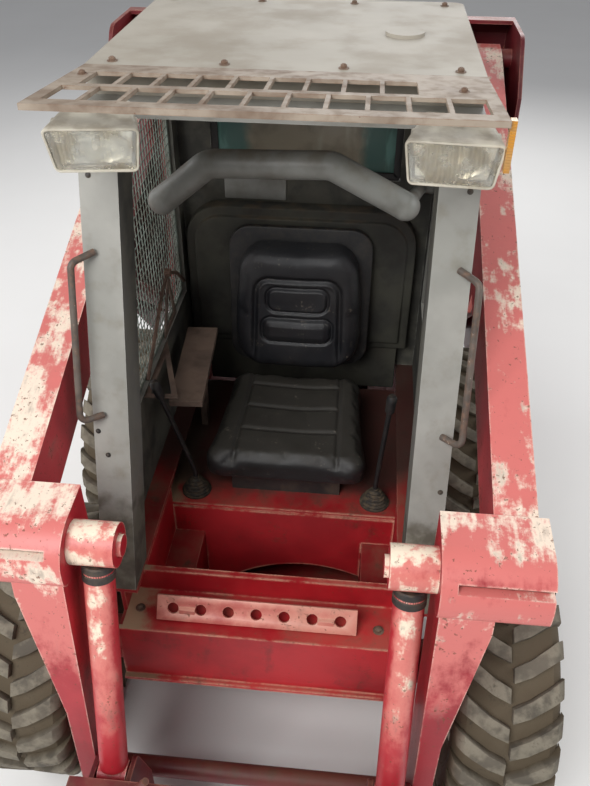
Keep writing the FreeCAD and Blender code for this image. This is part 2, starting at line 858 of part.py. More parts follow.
wall = prism_x(wall_outline, cab_inner_x, post_outer_x)
wall = wall.cut(prism_x(window_outline(0), cab_inner_x - over, post_outer_x + over))
rear_wall = box((-post_outer_x, post_outer_x), (cab_back_y - cab_wall, cab_back_y), (cab_low_z, post_top_z))
rear_wall = rear_wall.cut(box((-rear_window_half, rear_window_half),
                              (cab_back_y - cab_wall - over, cab_back_y + over),
                              (post_top_z - rear_window_drop, window_high_z)))
header = box((-post_outer_x, post_outer_x), (post_head_y, post_head_y + post_depth),
             (post_top_z - header_height, post_top_z))
save("cab_frame", fuse(post, mirrored(post), wall, mirrored(wall), rear_wall, header))

# Side screens: mesh plates inside the side windows
screen_x = (post_outer_x - screen_inset - screen_thick, post_outer_x - screen_inset)
screen_cut_x = (screen_x[0] - over, screen_x[1] + over)
screen_y = (post_y(window_low_z), cab_back_y - window_rear_margin)
screen_z = (window_low_z, window_high_z)
openings = prism_x(window_outline(screen_edge), *screen_cut_x)
for index in range(1, screen_columns):
    bar_y = screen_y[1] - index * (screen_y[1] - screen_y[0]) / screen_columns
    openings = openings.cut(box(screen_cut_x, (bar_y - screen_bar / 2, bar_y + screen_bar / 2), screen_z))
for index in range(1, screen_rows):
    bar_z = screen_z[0] + index * (screen_z[1] - screen_z[0]) / screen_rows
    openings = openings.cut(box(screen_cut_x, screen_y, (bar_z - screen_bar / 2, bar_z + screen_bar / 2)))
screen = prism_x(window_outline(seat_gap), *screen_x).cut(openings)
save("side_screens", screen, mirrored(screen))

# Roof: a shallow lid over the cab with a small cap
roof_low_z = post_top_z + seat_gap
roof_plan = [
    (-roof_half, roof_front_y),
    (roof_half, roof_front_y),
    (roof_half, roof_back_y, roof_corner),
    (-roof_half, roof_back_y, roof_corner),
]
roof = prism_z(roof_plan, roof_low_z, roof_z)
roof = roof.cut(box((-roof_half + sheet, roof_half - sheet),
                    (roof_front_y + sheet, roof_back_y - sheet - roof_corner / 2), (post_top_z, roof_z - sheet)))
cap_y = roof_back_y - roof_setback - cap_setback
roof_cap = rod((cap_x, cap_y, roof_z), (cap_x, cap_y, roof_z + cap_height), cap_radius)
save("roof", fuse(roof, roof_cap))

# Visor: a plate with two rows of slots and a lip, rising to the front from the roof's edge
visor = fuse(
    box((-roof_half, roof_half), (-visor_reach, 0), (0, visor_thick)),
    box((-roof_half, roof_half), (-visor_reach, -visor_reach + sheet), (-visor_lip, visor_thick)),
)
slot_wide = (2 * (roof_half - visor_edge) - (front_slots - 1) * visor_bar) / front_slots
slot_long = (visor_reach - visor_front_margin - visor_rib - visor_rear_margin) / 2
front_row_y = -visor_reach + visor_front_margin
for slots, first_x, low_y in (
    (front_slots, -roof_half + visor_edge, front_row_y),
    (rear_slots, -roof_half + rear_row_margin, front_row_y + slot_long + visor_rib),
):
    for index in range(slots):
        slot_x = first_x + index * (slot_wide + visor_bar)
        visor = visor.cut(box((slot_x, slot_x + slot_wide), (low_y, low_y + slot_long), (-over, visor_thick + over)))
visor_turn = math.asin(visor_rise / visor_reach)
visor.rotate(V(0, 0, 0), V(1, 0, 0), -math.degrees(visor_turn))
visor.translate(V(0, roof_front_y - seat_gap - visor_thick * math.sin(visor_turn), roof_z - visor_thick))
save("visor_grille", visor)

# Amber side marker on the visor's right end
visor_front_y = roof_front_y - visor_reach * math.cos(visor_turn)
marker_top_z = roof_z + visor_rise - over
save("side_marker", box((roof_half + seat_gap, roof_half + marker_thick),
                        (visor_front_y + sheet, visor_front_y + sheet + marker_width),
                        (marker_top_z - marker_height, marker_top_z)))


# Work lamps: a rim, a shell that tapers to the back, a lens in front and a bracket to the post
def lamp_section(scale, y):
    """Rounded rectangle across the lamp at a distance behind its front."""
    wide = lamp_half_width * scale
    high = lamp_half_height * scale
    corners = [(-wide, -high, lamp_corner), (wide, -high, lamp_corner), (wide, high, lamp_corner),
               (-wide, high, lamp_corner)]
    return outline(corners, lambda x, z: V(x, y, z))


lamp_y = post_head_y - lamp_lead
lamp_z = post_top_z - lamp_drop
lamp_bracket_z = post_top_z - plate
lens_wide = lamp_half_width - lens_inset
lens_high = lamp_half_height - lens_inset
lens_corners = [(-lens_wide, -lens_high, lamp_corner), (lens_wide, -lens_high, lamp_corner),
                (lens_wide, lens_high, lamp_corner), (-lens_wide, lens_high, lamp_corner)]
lamps = []
lenses = []
for side, inset, turn in lamp_places:
    lamp_x = side * (post_outer_x - inset)
    shell = Part.makeLoft([lamp_section(1.0, lamp_rim).OuterWire, lamp_section(lamp_taper, lamp_depth).OuterWire],
                          True, True)
    housing = fuse(lamp_section(1.0, 0).extrude(V(0, lamp_rim, 0)), shell)
    lens = prism_y(lens_corners, -lens_thick - seat_gap, -seat_gap)
    for piece in (housing, lens):
        piece.rotate(V(0, 0, 0), V(1, 0, 0), lamp_tilt)
        piece.rotate(V(0, 0, 0), V(0, 0, 1), turn)
        piece.translate(V(lamp_x, lamp_y, lamp_z))
    bracket_x = side * (post_outer_x - lamp_bracket_inset)
    bracket = box((bracket_x - lamp_bracket_half, bracket_x + lamp_bracket_half),
                  (lamp_y + lamp_rim, post_y(lamp_bracket_z - plate) - seat_gap),
                  (lamp_bracket_z - plate, lamp_bracket_z))
    lamps.append(fuse(housing, bracket))
    lenses.append(lens)
save("lamp_housings", *lamps)
save("lamp_lenses", *lenses)

# Grab handles: bent rods that stand off the front posts
lean_run = post_lean / cab_height
handle_low_z = sill_top_z + handle_low_rise
handle_high_z = handle_low_z + handle_length
handle_root_x = post_outer_x - handle_root_inset
handle_run_x = post_outer_x + handle_out
handle_stop = handle_radius / math.sqrt(1 + lean_run ** 2) - handle_radius * lean_run + over
handle = bent_bar([
    (handle_root_x, post_y(handle_high_z) - handle_stop, handle_high_z),
    (handle_run_x, post_y(handle_high_z) - handle_stand, handle_high_z - handle_jog),
    (handle_run_x, post_y(handle_low_z) - handle_stand, handle_low_z + handle_jog),
    (handle_root_x, post_y(handle_low_z) - handle_stop, handle_low_z),
], handle_radius, handle_bend)
save("grab_handles", handle, mirrored(handle))

# Seat: its base, the cushion and the back
save("seat_base", box((-seat_base_half, seat_base_half),
                      (seat_front_y + seat_base_front, seat_back_y - seat_base_back),
                      (platform_top_z + seat_gap, cushion_low_z - seat_gap)))
cushion_plan = [
    (-seat_half, seat_front_y, cushion_corner),
    (seat_half, seat_front_y, cushion_corner),
    (seat_rear_half, seat_back_y, cushion_corner),
    (-seat_rear_half, seat_back_y, cushion_corner),
]
save("seat_cushion", prism_z(cushion_plan, cushion_low_z, cushion_top_z))
back_front_y = seat_back_y - back_lap
back_low_z = cushion_top_z + seat_gap
back_side = [
    (back_front_y, back_low_z),
    (back_front_y + back_thick, back_low_z),
    (back_front_y + back_thick + back_lean, back_top_z),
    (back_front_y + back_lean + back_thick / 4, back_top_z),
]
back_front = [
    (-back_half, back_low_z),
    (back_half, back_low_z),
    (back_top_half, back_top_z, back_corner),
    (-back_top_half, back_top_z, back_corner),
]
back_y = (back_front_y, back_front_y + 2 * back_thick)
save("seat_back", prism_x(back_side, -back_half, back_half).common(prism_y(back_front, *back_y)))

# Armrest panel on its leg, and a lever on each side between the seat and the wall
side_room_x = (seat_half + platform_half) / 2
armrest_y = seat_front_y + armrest_lead
armrest_z = cushion_top_z + armrest_rise
armrest = box((-armrest_width / 2, armrest_width / 2), (0, armrest_length), (armrest_z, armrest_z + armrest_thick))
armrest.rotate(V(0, 0, 0), V(0, 0, 1), armrest_turn)
armrest.translate(V(-side_room_x + armrest_thick, armrest_y, 0))
leg_y = armrest_y + armrest_leg_setback
leg = box((-side_room_x - armrest_leg / 2, -side_room_x + armrest_leg / 2), (leg_y, leg_y + 2 * armrest_leg),
          (platform_top_z + seat_gap, armrest_z + over))
save("armrest_panel", fuse(armrest, leg))
levers = []
lever_y = well_rear_y + lever_setback
lever_foot_z = platform_top_z + seat_gap
lever_top_z = platform_top_z + lever_height
for side, reach in lever_tops:
    foot_x = side * (seat_half + lever_clear)
    top_x = side * reach
    boot = Part.makeCone(boot_radius, boot_top_radius, boot_height, V(foot_x, lever_y, lever_foot_z), V(0, 0, 1))
    stem = rod((foot_x, lever_y, lever_foot_z + boot_height / 2), (top_x, lever_y - lever_lean, lever_top_z),
               lever_radius)
    knob = rod((top_x, lever_y - lever_lean, lever_top_z - knob_radius),
               (top_x, lever_y - lever_lean, lever_top_z + knob_height), knob_radius)
    levers.append(fuse(boot, stem, knob))
save("control_levers", *levers)


# Lap bar, raised: a thick cranked bar across the cab on two side arms
def lap_place(across, drop):
    """Place on the raised bar, a drop under the post tops."""
    return (across, lap_pivot_y - lap_reach, post_top_z - drop)


lap_ends = (lap_place(*lap_left_end), lap_place(*lap_right_end))
lap_parts = [bent_bar([lap_ends[0], lap_place(*lap_left_corner), lap_place(*lap_right_corner), lap_ends[1]],
                      lap_bar_radius, lap_bend)]
for side, end in zip((-1, 1), lap_ends):
    pivot = (side * lap_x, lap_pivot_y, lap_pivot_z)
    lap_parts.append(rod(end, pivot, lap_arm_radius))
    lap_parts.append(Part.makeSphere(lap_bar_radius + over, V(*end)))
    lap_parts.append(rod(pivot, (side * (cab_inner_x - seat_gap), lap_pivot_y, lap_pivot_z), lap_pin_radius))
    lap_parts.append(Part.makeSphere(lap_arm_radius, V(*pivot)))
save("lap_bar", fuse(*lap_parts))


# Boom arms: an upper arm, the knee with its round nose and pin slot, and the leg to the coupler
def arm_top(y):
    """Top edge of the upper arm at a place along the machine."""
    return boom_pivot_z + arm_rise + slope_run * (y - boom_pivot_y)


arm_front_y = knee_back_y - knee_heel
arm_tail_y = boom_pivot_y + arm_tail
arm_waist_y = boom_pivot_y - 2 * boom_boss_radius
upper_outline = [
    (arm_front_y, arm_top(arm_front_y)),
    (boom_pivot_y - arm_tail_corner, arm_top(boom_pivot_y - arm_tail_corner), arm_depth),
    (arm_tail_y, boom_pivot_z + arm_tail_corner, arm_tail_corner),
    (arm_tail_y, boom_pivot_z - boom_boss_radius, arm_tail_corner),
    (arm_waist_y, arm_top(arm_waist_y) - arm_drop, arm_depth),
    (arm_front_y, arm_top(arm_front_y) - arm_drop),
]
upper = prism_x(upper_outline, arm_inner_x, arm_outer_x)
knee_outline = [
    (knee_back_y, knee_bottom_z - plate),
    (knee_back_y, knee_top_z),
    (knee_nose_y, knee_top_z - plate, knee_round),
    (knee_nose_y + sheet, knee_bottom_z, knee_heel),
]
knee = prism_x(knee_outline, knee_inner_x, knee_outer_x)
leg_top_z = knee_bottom_z + knee_heel
leg_foot_z = coupler_z - leg_foot_drop
leg_mid_z = axle_z + leg_mid_rise
leg_top_x = arm_inner_x + leg_step
leg_front = [
    (leg_inner_x, leg_foot_z),
    (tyre_inner_x - leg_foot_clearance, leg_foot_z),
    (tyre_inner_x - leg_mid_clearance, leg_mid_z),
    (leg_top_x, knee_bottom_z - knee_heel),
    (leg_top_x, leg_top_z),
    (leg_inner_x, leg_top_z),
]
leg_side = [
    (knee_back_y - plate, leg_top_z),
    (knee_nose_y + plate, leg_top_z),
    (coupler_y - leg_foot_front, leg_foot_z, leg_foot_drop / 2),
    (coupler_y + leg_foot_back, leg_foot_z, leg_foot_drop / 2),
]
leg = prism_y(leg_front, coupler_front_y, tub_front_y).common(prism_x(leg_side, leg_inner_x, leg_top_x))
slot_high_z = knee_top_z - slot_drop
nose_centre_z = knee_top_z - plate - knee_round
slot_skin_y = knee_nose_y + knee_round - math.sqrt(max(knee_round ** 2 - (slot_high_z - nose_centre_z) ** 2, 0.0))
slot_low_x = knee_inner_x + slot_inner_margin
slot = box((slot_low_x, knee_outer_x + over), (knee_nose_y - over, slot_skin_y + slot_depth),
           (slot_high_z - slot_width, slot_high_z))
arm = fuse(upper, knee, leg).cut(slot)
arm = arm.cut(bar_x(boom_pivot_y, boom_pivot_z, arm_inner_x - over, arm_outer_x + over, boom_pin_radius + run_gap))
arm = arm.cut(bar_x(coupler_y, coupler_z, leg_inner_x - over, leg_top_x, coupler_pin_radius + run_gap))
lug_top = arm_drop - lug_tip
lug_outline = [
    (lift_eye_y - lug_front, arm_top(lift_eye_y - lug_front) - lug_top),
    (lift_eye_y + lug_back, arm_top(lift_eye_y + lug_back) - lug_top),
    (lift_eye_y + lug_tip, lift_eye_z - lug_below, lug_tip),
    (lift_eye_y - lug_tip, lift_eye_z - lug_below, lug_tip),
]
lugs = [prism_x(lug_outline, x, x + lug_plate) for x in (arm_inner_x, arm_outer_x - lug_plate)]
arm = fuse(arm, *lugs)
save("arm_right", arm)
save("arm_left", mirrored(arm))
slot_rod_radius = slot_width / 2 - seat_gap
slot_rod = bar_x(slot_skin_y + slot_depth - seat_gap - slot_rod_radius, slot_high_z - slot_width / 2,
                 slot_low_x + seat_gap, knee_outer_x - sheet, slot_rod_radius)
save("knee_rods", slot_rod, mirrored(slot_rod))
save("arm_cross_tube", bar_x(cross_tube_y, cross_tube_z, -leg_inner_x + seat_gap, leg_inner_x - seat_gap,
                             cross_tube_radius))

# Coupler: hooks on the leg pins, a top tube, two leaning face plates with lock holes, and the lock levers
hook_outline = [
    (coupler_y + hook_half, coupler_z - hook_half, hook_half / 2),
    (coupler_y + hook_half, coupler_z + hook_half, hook_half / 2),
    (ear_y + hook_half, ear_z + hook_half - plate, hook_half / 2),
    (ear_y - hook_half, ear_z + hook_half, hook_half / 2),
    (coupler_front_y + coupler_plate, coupler_top_z - coupler_tube / 2),
    (coupler_front_y + coupler_plate + coupler_lean / 2, coupler_bottom_z + hook_half / 2),
    (coupler_y, coupler_bottom_z + hook_half / 2),
]
hook_room = tilt_barrel_radius + hook_gap
hook_low_x = tilt_x - hook_room - plate
hook_high_x = tilt_x + hook_room
hooks = [prism_x(hook_outline, x, x + plate) for x in (hook_low_x, hook_high_x)]
coupler_pin = bar_x(coupler_y, coupler_z, hook_high_x, tyre_inner_x - leg_mid_clearance, coupler_pin_radius)
ear_pin = bar_x(ear_y, ear_z, hook_low_x, hook_high_x + plate, ear_pin_radius)
face_outline = [
    (coupler_front_y, coupler_top_z),
    (coupler_front_y + coupler_plate, coupler_top_z),
    (coupler_front_y + coupler_plate + coupler_lean, coupler_bottom_z),
    (coupler_front_y + coupler_lean, coupler_bottom_z),
]
face = prism_x(face_outline, coupler_plate_inner_x, coupler_half)
face_lean = math.atan2(coupler_lean, coupler_top_z - coupler_bottom_z)
lock_hole_y = coupler_front_y + (coupler_top_z - lock_hole_z) * math.tan(face_lean)
lock_reach = V(0, math.cos(face_lean), math.sin(face_lean)) * 2 * coupler_plate
lock_middle = V(lock_hole_x, lock_hole_y, lock_hole_z)
face = face.cut(rod(lock_middle - lock_reach, lock_middle + lock_reach, lock_hole_radius))
top_tube = box((-coupler_half, coupler_half), (coupler_front_y, coupler_front_y + coupler_tube),
               (coupler_top_z - coupler_tube, coupler_top_z))
lever_foot_y = coupler_front_y + coupler_tube / 2
lock_lever = bent_bar([
    (lock_lever_x, lever_foot_y, coupler_top_z - over),
    (lock_lever_x, lever_foot_y, coupler_top_z + lock_lever_rise / 2),
    (lock_lever_x - lock_lever_rise / 3, lever_foot_y, coupler_top_z + lock_lever_rise),
], lock_lever_radius, 2 * lock_lever_radius)
half_coupler = fuse(face, coupler_pin, ear_pin, lock_lever, *hooks)
save("coupler_frame", fuse(top_tube, half_coupler, mirrored(half_coupler)))


# Cylinders
def along(start, end, distance):
    """Point at a distance from start towards end."""
    direction = (V(*end) - V(*start)).normalize()
    point = V(*start) + direction * distance
    return (point.x, point.y, point.z)


def cylinder_pair(x, base, eye, barrel_radius, rod_radius, barrel_length, base_radius, eye_width, base_bore):
    """Barrel with its base eye and gland, and rod up to its end eye, along base to eye."""
    low = (x, base[0], base[1])
    high = (x, eye[0], eye[1])
    barrel = fuse(
        rod(along(low, high, barrel_start), along(low, high, barrel_length), barrel_radius),
        bar_x(base[0], base[1], x - eye_width / 2, x + eye_width / 2, base_radius),
    )
    barrel = barrel.cut(bar_x(base[0], base[1], x - eye_width, x + eye_width, base_bore))
    barrel = barrel.cut(rod(along(low, high, rod_start - sheet), along(low, high, barrel_length + over),
                            rod_radius + run_gap))
    return barrel, rod(along(low, high, rod_start), high, rod_radius)


tilt_length = math.dist((ear_y, ear_z), (tilt_top_y, tilt_top_z))
tilt_barrel, tilt_shaft = cylinder_pair(
    tilt_x, (ear_y, ear_z), (tilt_top_y, tilt_top_z), tilt_barrel_radius, tilt_rod_radius,
    tilt_length - boss_radius - gland_gap, lift_base_radius, 2 * (hook_room - hook_gap + over),
    ear_pin_radius + run_gap)
boss_inner_x = tilt_x - boss_reach
tilt_rod = fuse(
    tilt_shaft,
    bar_x(tilt_top_y, tilt_top_z, boss_inner_x, knee_inner_x - seat_gap, boss_radius),
    bar_x(tilt_top_y, tilt_top_z, boss_inner_x - nub_length, boss_inner_x, nub_radius),
)
lift_x = (arm_inner_x + arm_outer_x) / 2
lift_length = math.dist((lift_base_y, lift_base_z), (lift_eye_y, lift_eye_z))
lift_eye_half = arm_width / 2 - lug_plate - seat_gap
lift_barrel, lift_shaft = cylinder_pair(
    lift_x, (lift_base_y, lift_base_z), (lift_eye_y, lift_eye_z), lift_barrel_radius, lift_rod_radius,
    lift_length - lift_eye_radius - lift_gland_gap, lift_base_radius, 2 * lift_eye_half - sheet,
    lift_pin_radius + run_gap)
lift_rod = fuse(lift_shaft, bar_x(lift_eye_y, lift_eye_z, lift_x - lift_eye_half, lift_x + lift_eye_half,
                                  lift_eye_radius))
for name, shape in (
    ("tilt_barrel", tilt_barrel),
    ("tilt_rod", tilt_rod),
    ("lift_barrel", lift_barrel),
    ("lift_rod", lift_rod),
):
    save(name + "_right", shape)
    save(name + "_left", mirrored(shape))
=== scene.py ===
import bpy
import bmesh
import math
from mathutils import Matrix, Vector, noise


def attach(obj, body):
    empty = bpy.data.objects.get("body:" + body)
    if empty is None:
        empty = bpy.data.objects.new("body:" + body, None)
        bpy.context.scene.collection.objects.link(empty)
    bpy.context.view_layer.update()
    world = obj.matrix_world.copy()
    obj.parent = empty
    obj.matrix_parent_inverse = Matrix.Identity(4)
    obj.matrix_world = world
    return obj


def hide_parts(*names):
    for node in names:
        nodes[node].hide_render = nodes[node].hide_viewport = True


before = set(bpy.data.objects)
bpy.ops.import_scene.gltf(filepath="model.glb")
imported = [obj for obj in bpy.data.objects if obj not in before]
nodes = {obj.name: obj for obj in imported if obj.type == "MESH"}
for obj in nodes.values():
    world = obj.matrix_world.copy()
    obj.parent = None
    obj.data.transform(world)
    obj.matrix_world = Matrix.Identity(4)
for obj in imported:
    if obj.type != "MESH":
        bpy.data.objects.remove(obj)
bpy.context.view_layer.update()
world = bpy.context.scene.world or bpy.data.worlds.new("roomLight")
bpy.context.scene.world = world
bpy.context.scene.view_settings.view_transform = "Standard"


# Camera, floor and light
shot = {
    "place": (0.193, -2.005, 2.395), "yaw": -5.26, "pitch": 37.5, "roll": 0.38,
    "focal": 790, "width": 590, "sensor": 36,
}


def aimCamera():
    yaw, pitch, roll = (math.radians(shot[turn]) for turn in ("yaw", "pitch", "roll"))
    ahead = Vector((math.sin(yaw) * math.cos(pitch), math.cos(yaw) * math.cos(pitch), -math.sin(pitch)))
    right = Vector((math.cos(yaw), -math.sin(yaw), 0))
    above = right.cross(ahead)
    across = right * math.cos(roll) + above * math.sin(roll)
    upright = above * math.cos(roll) - right * math.sin(roll)
    bpy.ops.object.camera_add()
    camera = bpy.context.object
    camera.name = "photoCamera"
    aim = Matrix((across, upright, -ahead)).transposed().to_4x4()
    camera.matrix_world = Matrix.Translation(shot["place"]) @ aim
    camera.data.sensor_fit = "HORIZONTAL"
    camera.data.sensor_width = shot["sensor"]
    camera.data.lens = shot["sensor"] * shot["focal"] / shot["width"]
    bpy.context.scene.camera = camera


sky = {"colour": (0.93, 0.95, 1.0, 1), "strength": 0.3}
softLights = (  # name, place, what it faces, size, power
    ("frontSky", (-1.7, -4.2, 4.6), (0, -0.4, 0.9), 3.0, 270),
    ("sideSky", (4.2, -0.6, 3.6), (0, 0, 0.9), 3.0, 90),
    ("otherSide", (-4.4, 0.8, 3.2), (0, 0, 0.9), 3.0, 70),
    ("rearSky", (0.6, 4.6, 3.6), (0, 0.2, 1.0), 3.2, 110),
)


def lightRoom():
    for name, place, target, size, power in softLights:
        bpy.ops.object.light_add(type="AREA", location=place)
        lamp = bpy.context.object
        lamp.name = name
        lamp.data.size = size
        lamp.data.energy = power
        lamp.rotation_euler = (Vector(target) - Vector(place)).to_track_quat("-Z", "Y").to_euler()
    world.use_nodes = True
    background = world.node_tree.nodes["Background"].inputs
    background["Color"].default_value = sky["colour"]
    background["Strength"].default_value = sky["strength"]


aimCamera()
lightRoom()
print("camera and light set")


# Shader building
def tint(red, green, blue):  # a colour as seen on screen, made linear
    return tuple(((part / 255 + 0.055) / 1.055) ** 2.4 for part in (red, green, blue)) + (1.0,)


class Wire:  # a socket that takes part in plain maths
    def __init__(self, finish, socket):
        self.finish = finish
        self.socket = socket

    def maths(self, operation, first, second):
        return self.finish.node("ShaderNodeMath", {"operation": operation}, {0: first, 1: second})

    def __add__(self, other):
        return self.maths("ADD", self, other)

    def __radd__(self, other):
        return self.maths("ADD", other, self)

    def __sub__(self, other):
        return self.maths("SUBTRACT", self, other)

    def __rsub__(self, other):
        return self.maths("SUBTRACT", other, self)

    def __mul__(self, other):
        return self.maths("MULTIPLY", self, other)

    def __rmul__(self, other):
        return self.maths("MULTIPLY", other, self)

    def most(self, other):
        return self.maths("MAXIMUM", self, other)


class Finish:  # one material while it is being built
    def __init__(self, name, **fixed):
        self.material = bpy.data.materials.new(name)
        self.material.use_nodes = True
        self.tree = self.material.node_tree
        self.shader = self.tree.nodes["Principled BSDF"]
        for label, value in fixed.items():
            self.shader.inputs[label.replace("_", " ")].default_value = value

    def node(self, kind, settings, sockets, out=0):
        made = self.tree.nodes.new(kind)
        for label, value in settings.items():
            setattr(made, label, value)
        for label, value in sockets.items():
            if isinstance(value, Wire):
                self.tree.links.new(value.socket, made.inputs[label])
            else:
                made.inputs[label].default_value = value
        return Wire(self, made.outputs[out])

    def spot(self):
        return self.node("ShaderNodeTexCoord", {}, {}, "Object")

    def facing(self, axis):
        normal = self.node("ShaderNodeTexCoord", {}, {}, "Normal")
        return self.node("ShaderNodeSeparateXYZ", {}, {0: normal}, axis)

    def along(self, axis):
        return self.node("ShaderNodeSeparateXYZ", {}, {0: self.spot()}, axis)

    def cloud(self, size, detail=4, stretch=(1, 1, 1), shift=0.0, rough=0.55):
        moved = self.node("ShaderNodeMapping", {}, {"Vector": self.spot(), "Location": (shift, shift, shift),
                                                    "Scale": stretch})
        return self.node("ShaderNodeTexNoise", {}, {"Vector": moved, "Scale": size, "Detail": detail,
                                                    "Roughness": rough})

    def step(self, value, low, high):
        return self.node("ShaderNodeMapRange", {"interpolation_type": "SMOOTHSTEP"},
                         {"Value": value, "From Min": low, "From Max": high})

    def mix(self, share, first, second):
        return self.node("ShaderNodeMix", {"data_type": "RGBA"}, {0: share, 6: first, 7: second}, 2)

    def edge(self, radius, low=0.02, high=0.22):  # 1 along sharp edges, 0 on flat faces
        rounded = self.node("ShaderNodeBevel", {"samples": 4}, {"Radius": radius})
        sharp = self.node("ShaderNodeNewGeometry", {}, {}, "Normal")
        operation = {"operation": "DOT_PRODUCT"}
        same = self.node("ShaderNodeVectorMath", operation, {0: rounded, 1: sharp}, "Value")
        return self.step(1 - same, low, high)

    def bump(self, height, strength, distance=0.002):
        return self.node("ShaderNodeBump", {}, {"Height": height, "Strength": strength, "Distance": distance})

    def attach(self, **sockets):
        for label, wire in sockets.items():
            self.tree.links.new(wire.socket, self.shader.inputs[label.replace("_", " ")])
        return self.material


rust = tint(112, 66, 42)
soil = tint(116, 98, 76)
grime = tint(46, 36, 30)


def lookTable(columns, rows):  # rows of values under the names of their columns
    return {name: dict(zip(columns.split(), row)) for name, row in rows.items()}


# Worn red paint: deep where it is sheltered, pink where it faded, cream where it has turned to chalk.
# The four colours are the deep, the bright, the faded and the chalky one.
# soot sets how strongly painted shade darkens the paint round the seat inside the cab
redLooks = lookTable("colours fade chalkFrom rise streak front soil grime wear chips soot edge sandy", {
    "redChassis": (((128, 16, 24), (168, 30, 38), (190, 66, 64), (214, 150, 130)),
        (1.3, 1.7), (1.66, 1.86), (0.45, 0.9), (1, 1, 0.35), 0.15, 0.5, 0.75, 0.8, 0.5, 0.9, 0.006, 0),
    "redBeam": (((150, 20, 28), (190, 34, 42), (204, 88, 80), (232, 176, 150)),
        (1.3, 1.6), (1.56, 1.8), (0.55, 0.75), (1, 1, 0.3), 0.1, 0.4, 0.5, 1.0, 0.5, 0.92, 0.012, 0.85),
    "redStep": (((176, 84, 76), (206, 122, 110), (222, 150, 132), (232, 186, 162)),
        (1.0, 1.4), (1.5, 1.7), (0.5, 0.6), (1, 1, 1), 0.4, 0.3, 0.5, 0.8, 0.8, 0, 0.006, 0),
    "redArm": (((146, 20, 34), (188, 46, 56), (212, 114, 108), (246, 226, 206)),
        (1.02, 1.3), (1.44, 1.58), (0.55, 1.05), (2.2, 0.45, 0.8), 0.9, 0.12, 0.45, 0.7, 0.8, 0, 0.006, 0),
    "redCylinder": (((166, 30, 42), (196, 56, 62), (216, 122, 112), (246, 228, 204)),
        (1.02, 1.34), (1.34, 1.48), (0.4, 0.9), (2.6, 2.6, 0.4), 0.9, 0.1, 0.5, 0.5, 0.7, 0, 0.006, 0),
    # a darker copy of the red: painted shade for the rear towers and the parts that share their paint
    "shadedRedTower": (((84, 20, 26), (120, 28, 34), (146, 58, 56), (176, 112, 98)),
        (1.3, 1.7), (1.66, 1.86), (0.6, 1.6), (1, 1, 0.4), 0.2, 0.5, 0.5, 0.8, 0.6, 0, 0.006, 0),
})


def wornRed(name, look):
    paint = Finish(name, Coat_Roughness=0.5, Coat_Weight=0.08)
    deep, bright, pink, cream = (tint(*colour) for colour in look["colours"])
    upward = paint.facing(2).most(0)
    frontward = (0 - paint.facing(1)).most(0)
    open_ = upward.most(frontward * look["front"])
    risen = paint.step(paint.along(2), *look["rise"])
    broad = paint.cloud(3.1, 4)
    patch = paint.cloud(12, 6, shift=4.0, rough=0.65)
    streak = paint.cloud(15, 6, look["streak"], 9.0, 0.65)
    fine = paint.cloud(95, 3, shift=2.0, rough=0.65)
    reach = open_ * 0.6 * risen + broad * 0.55 + patch * 0.75 + streak * 0.5
    faded = paint.step(reach, *look["fade"])
    chalk = paint.step(reach + fine * 0.15 - 0.075, *look["chalkFrom"])
    colour = paint.mix(paint.step(broad, 0.35, 0.65), deep, bright)
    colour = paint.mix(faded, colour, pink)
    colour = paint.mix(chalk, colour, cream)
    worn = paint.edge(look["edge"]) * paint.step(patch + fine * 0.3, 0.5, 0.72) * look["wear"]
    colour = paint.mix(worn, colour, cream)
    dirty = paint.step(streak * 0.6 + patch * 0.5, 0.6, 0.74) * look["grime"]
    colour = paint.mix(dirty, colour, grime)
    chips = paint.step(fine * 0.9 + patch * 0.35 + worn * 0.05, 0.745, 0.80) * look["chips"]
    colour = paint.mix(chips, colour, rust)
    dust = upward * paint.step(patch * 0.6 + broad * 0.6, 0.46, 0.75) * look["soil"]
    colour = paint.mix(dust, colour, soil)
    if look["sandy"]:  # pale dirt on the left end of the shelf
        left = paint.step(0 - paint.along(0) + patch * 0.16, 0.37, 0.42) * upward
        colour = paint.mix(left * look["sandy"], colour, tint(158, 138, 108))
    if look["soot"]:  # painted shade on the faces round the seat inside the cab, towards its rear
        side = paint.along(0)
        inside = paint.step(0.205 - side * side, 0.0, 0.02) * paint.step(paint.along(2), 0.56, 0.6)
        inside = inside * paint.step(side * paint.facing(0), 0.2, 0.05)
        back = paint.along(1)
        depth = paint.step(back + patch * 0.12, -0.24, -0.08) * paint.step(0.442 - back, 0.0, 0.01)
        colour = paint.mix(inside * depth * look["soot"], colour, tint(52, 40, 35))
    height = fine * 0.4 - chips * 0.8 + patch * 0.3
    return paint.attach(Base_Color=colour, Roughness=0.42 + chalk * 0.25 + dust * 0.3 + chips * 0.25,
                        Normal=paint.bump(height, 0.4))


